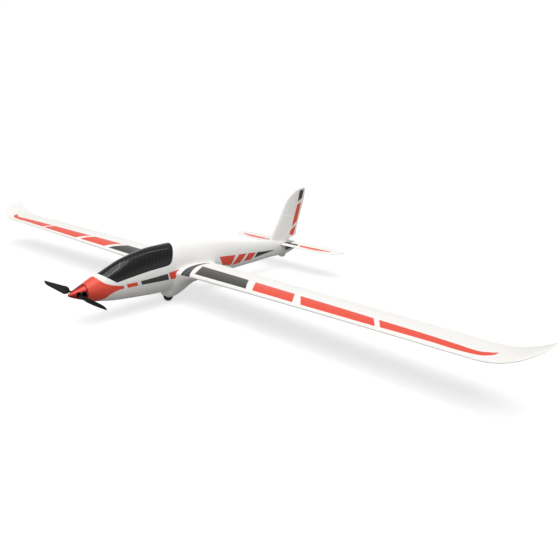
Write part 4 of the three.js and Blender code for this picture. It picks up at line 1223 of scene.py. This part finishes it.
# Places in metres, angles in degrees
FLOOR_REACH = 60.0
FLOOR_TONE, FLOOR_GLOW = (0.40, 0.42), 0.62
SUN_STRENGTH, SUN_ANGLE, SUN_TURN = 2.0, 55, (14, 16)
STRIPS = {"strip_front": (0.30, -0.25, 1.5), "strip_rear": (0.12, 0.15, 1.5)}
STRIP_TARGET, STRIP_SIZE, STRIP_POWER = (0, -0.2, 0.15), (0.03, 1.2), 1.6
WORLD_BELOW, WORLD_BAND, WORLD_ABOVE = 0.22, 1.02, 0.42
CAMERA_PLACE = (1.2478, -1.1718, 0.5540)
CAMERA_RIGHT = Vector((0.7687, 0.6387, 0.0324))
CAMERA_FORWARD = Vector((-0.6040, 0.7417, -0.2916)).normalized()
CAMERA_LENS, CAMERA_SENSOR = 35.37, 36.0

reach = FLOOR_REACH
corners = [(-reach, -reach, 0), (reach, -reach, 0), (reach, reach, 0), (-reach, reach, 0)]
floor_mesh = bpy.data.meshes.new("studio_floor")
floor_mesh.from_pydata(corners, [], [(0, 1, 2, 3)])
floor = add("studio_floor", floor_mesh)
floor.data.materials.append(floor_look())

floor.visible_diffuse = False  # the stage gives no bounce light from below
floor.visible_glossy = False

sun = bpy.data.lights.new("overhead_panel", "SUN")
sun.energy = SUN_STRENGTH
sun.angle = math.radians(SUN_ANGLE)
overhead = add("overhead_panel", sun)
overhead.rotation_euler = (math.radians(SUN_TURN[0]), math.radians(SUN_TURN[1]), 0)
for name, place in STRIPS.items():
    area_light(name, place, STRIP_TARGET, STRIP_SIZE, STRIP_POWER)


def studio_world():
    """Dim below, a white band along the horizon and a softly lit ceiling."""
    world = bpy.data.worlds.new("studio")
    world.use_nodes = True
    nodes, links = world.node_tree.nodes, world.node_tree.links
    coordinates = nodes.new("ShaderNodeTexCoord")
    parts = nodes.new("ShaderNodeSeparateXYZ")
    share = nodes.new("ShaderNodeMath")
    share.operation = "MULTIPLY_ADD"
    share.inputs[1].default_value = share.inputs[2].default_value = 0.5
    ramp = nodes.new("ShaderNodeValToRGB")
    stops = ramp.color_ramp.elements
    stops[0].position, stops[0].color = 0.0, (WORLD_BELOW,) * 3 + (1,)
    stops[1].position, stops[1].color = 1.0, (WORLD_ABOVE,) * 3 + (1,)
    levels = ((0.485, WORLD_BELOW), (0.495, WORLD_BAND), (0.62, WORLD_BAND), (0.70, WORLD_ABOVE))
    for position, level in levels:
        stops.new(position).color = (level, level, level, 1)
    links.new(coordinates.outputs["Generated"], parts.inputs[0])
    links.new(parts.outputs[2], share.inputs[0])
    links.new(share.outputs[0], ramp.inputs[0])
    links.new(ramp.outputs[0], nodes["Background"].inputs[0])
    return world


bpy.context.scene.world = studio_world()
bpy.context.scene.view_settings.view_transform = "Standard"

up = CAMERA_RIGHT.cross(CAMERA_FORWARD).normalized()
right = CAMERA_FORWARD.cross(up)
camera_data = bpy.data.cameras.new("camera")
camera_data.lens = CAMERA_LENS
camera_data.sensor_width = CAMERA_SENSOR
camera_data.clip_start, camera_data.clip_end = 0.05, 100.0
camera = add("camera", camera_data)
turn = Matrix((right, up, -CAMERA_FORWARD)).transposed().to_4x4()
camera.matrix_world = Matrix.Translation(CAMERA_PLACE) @ turn
bpy.context.scene.camera = camera
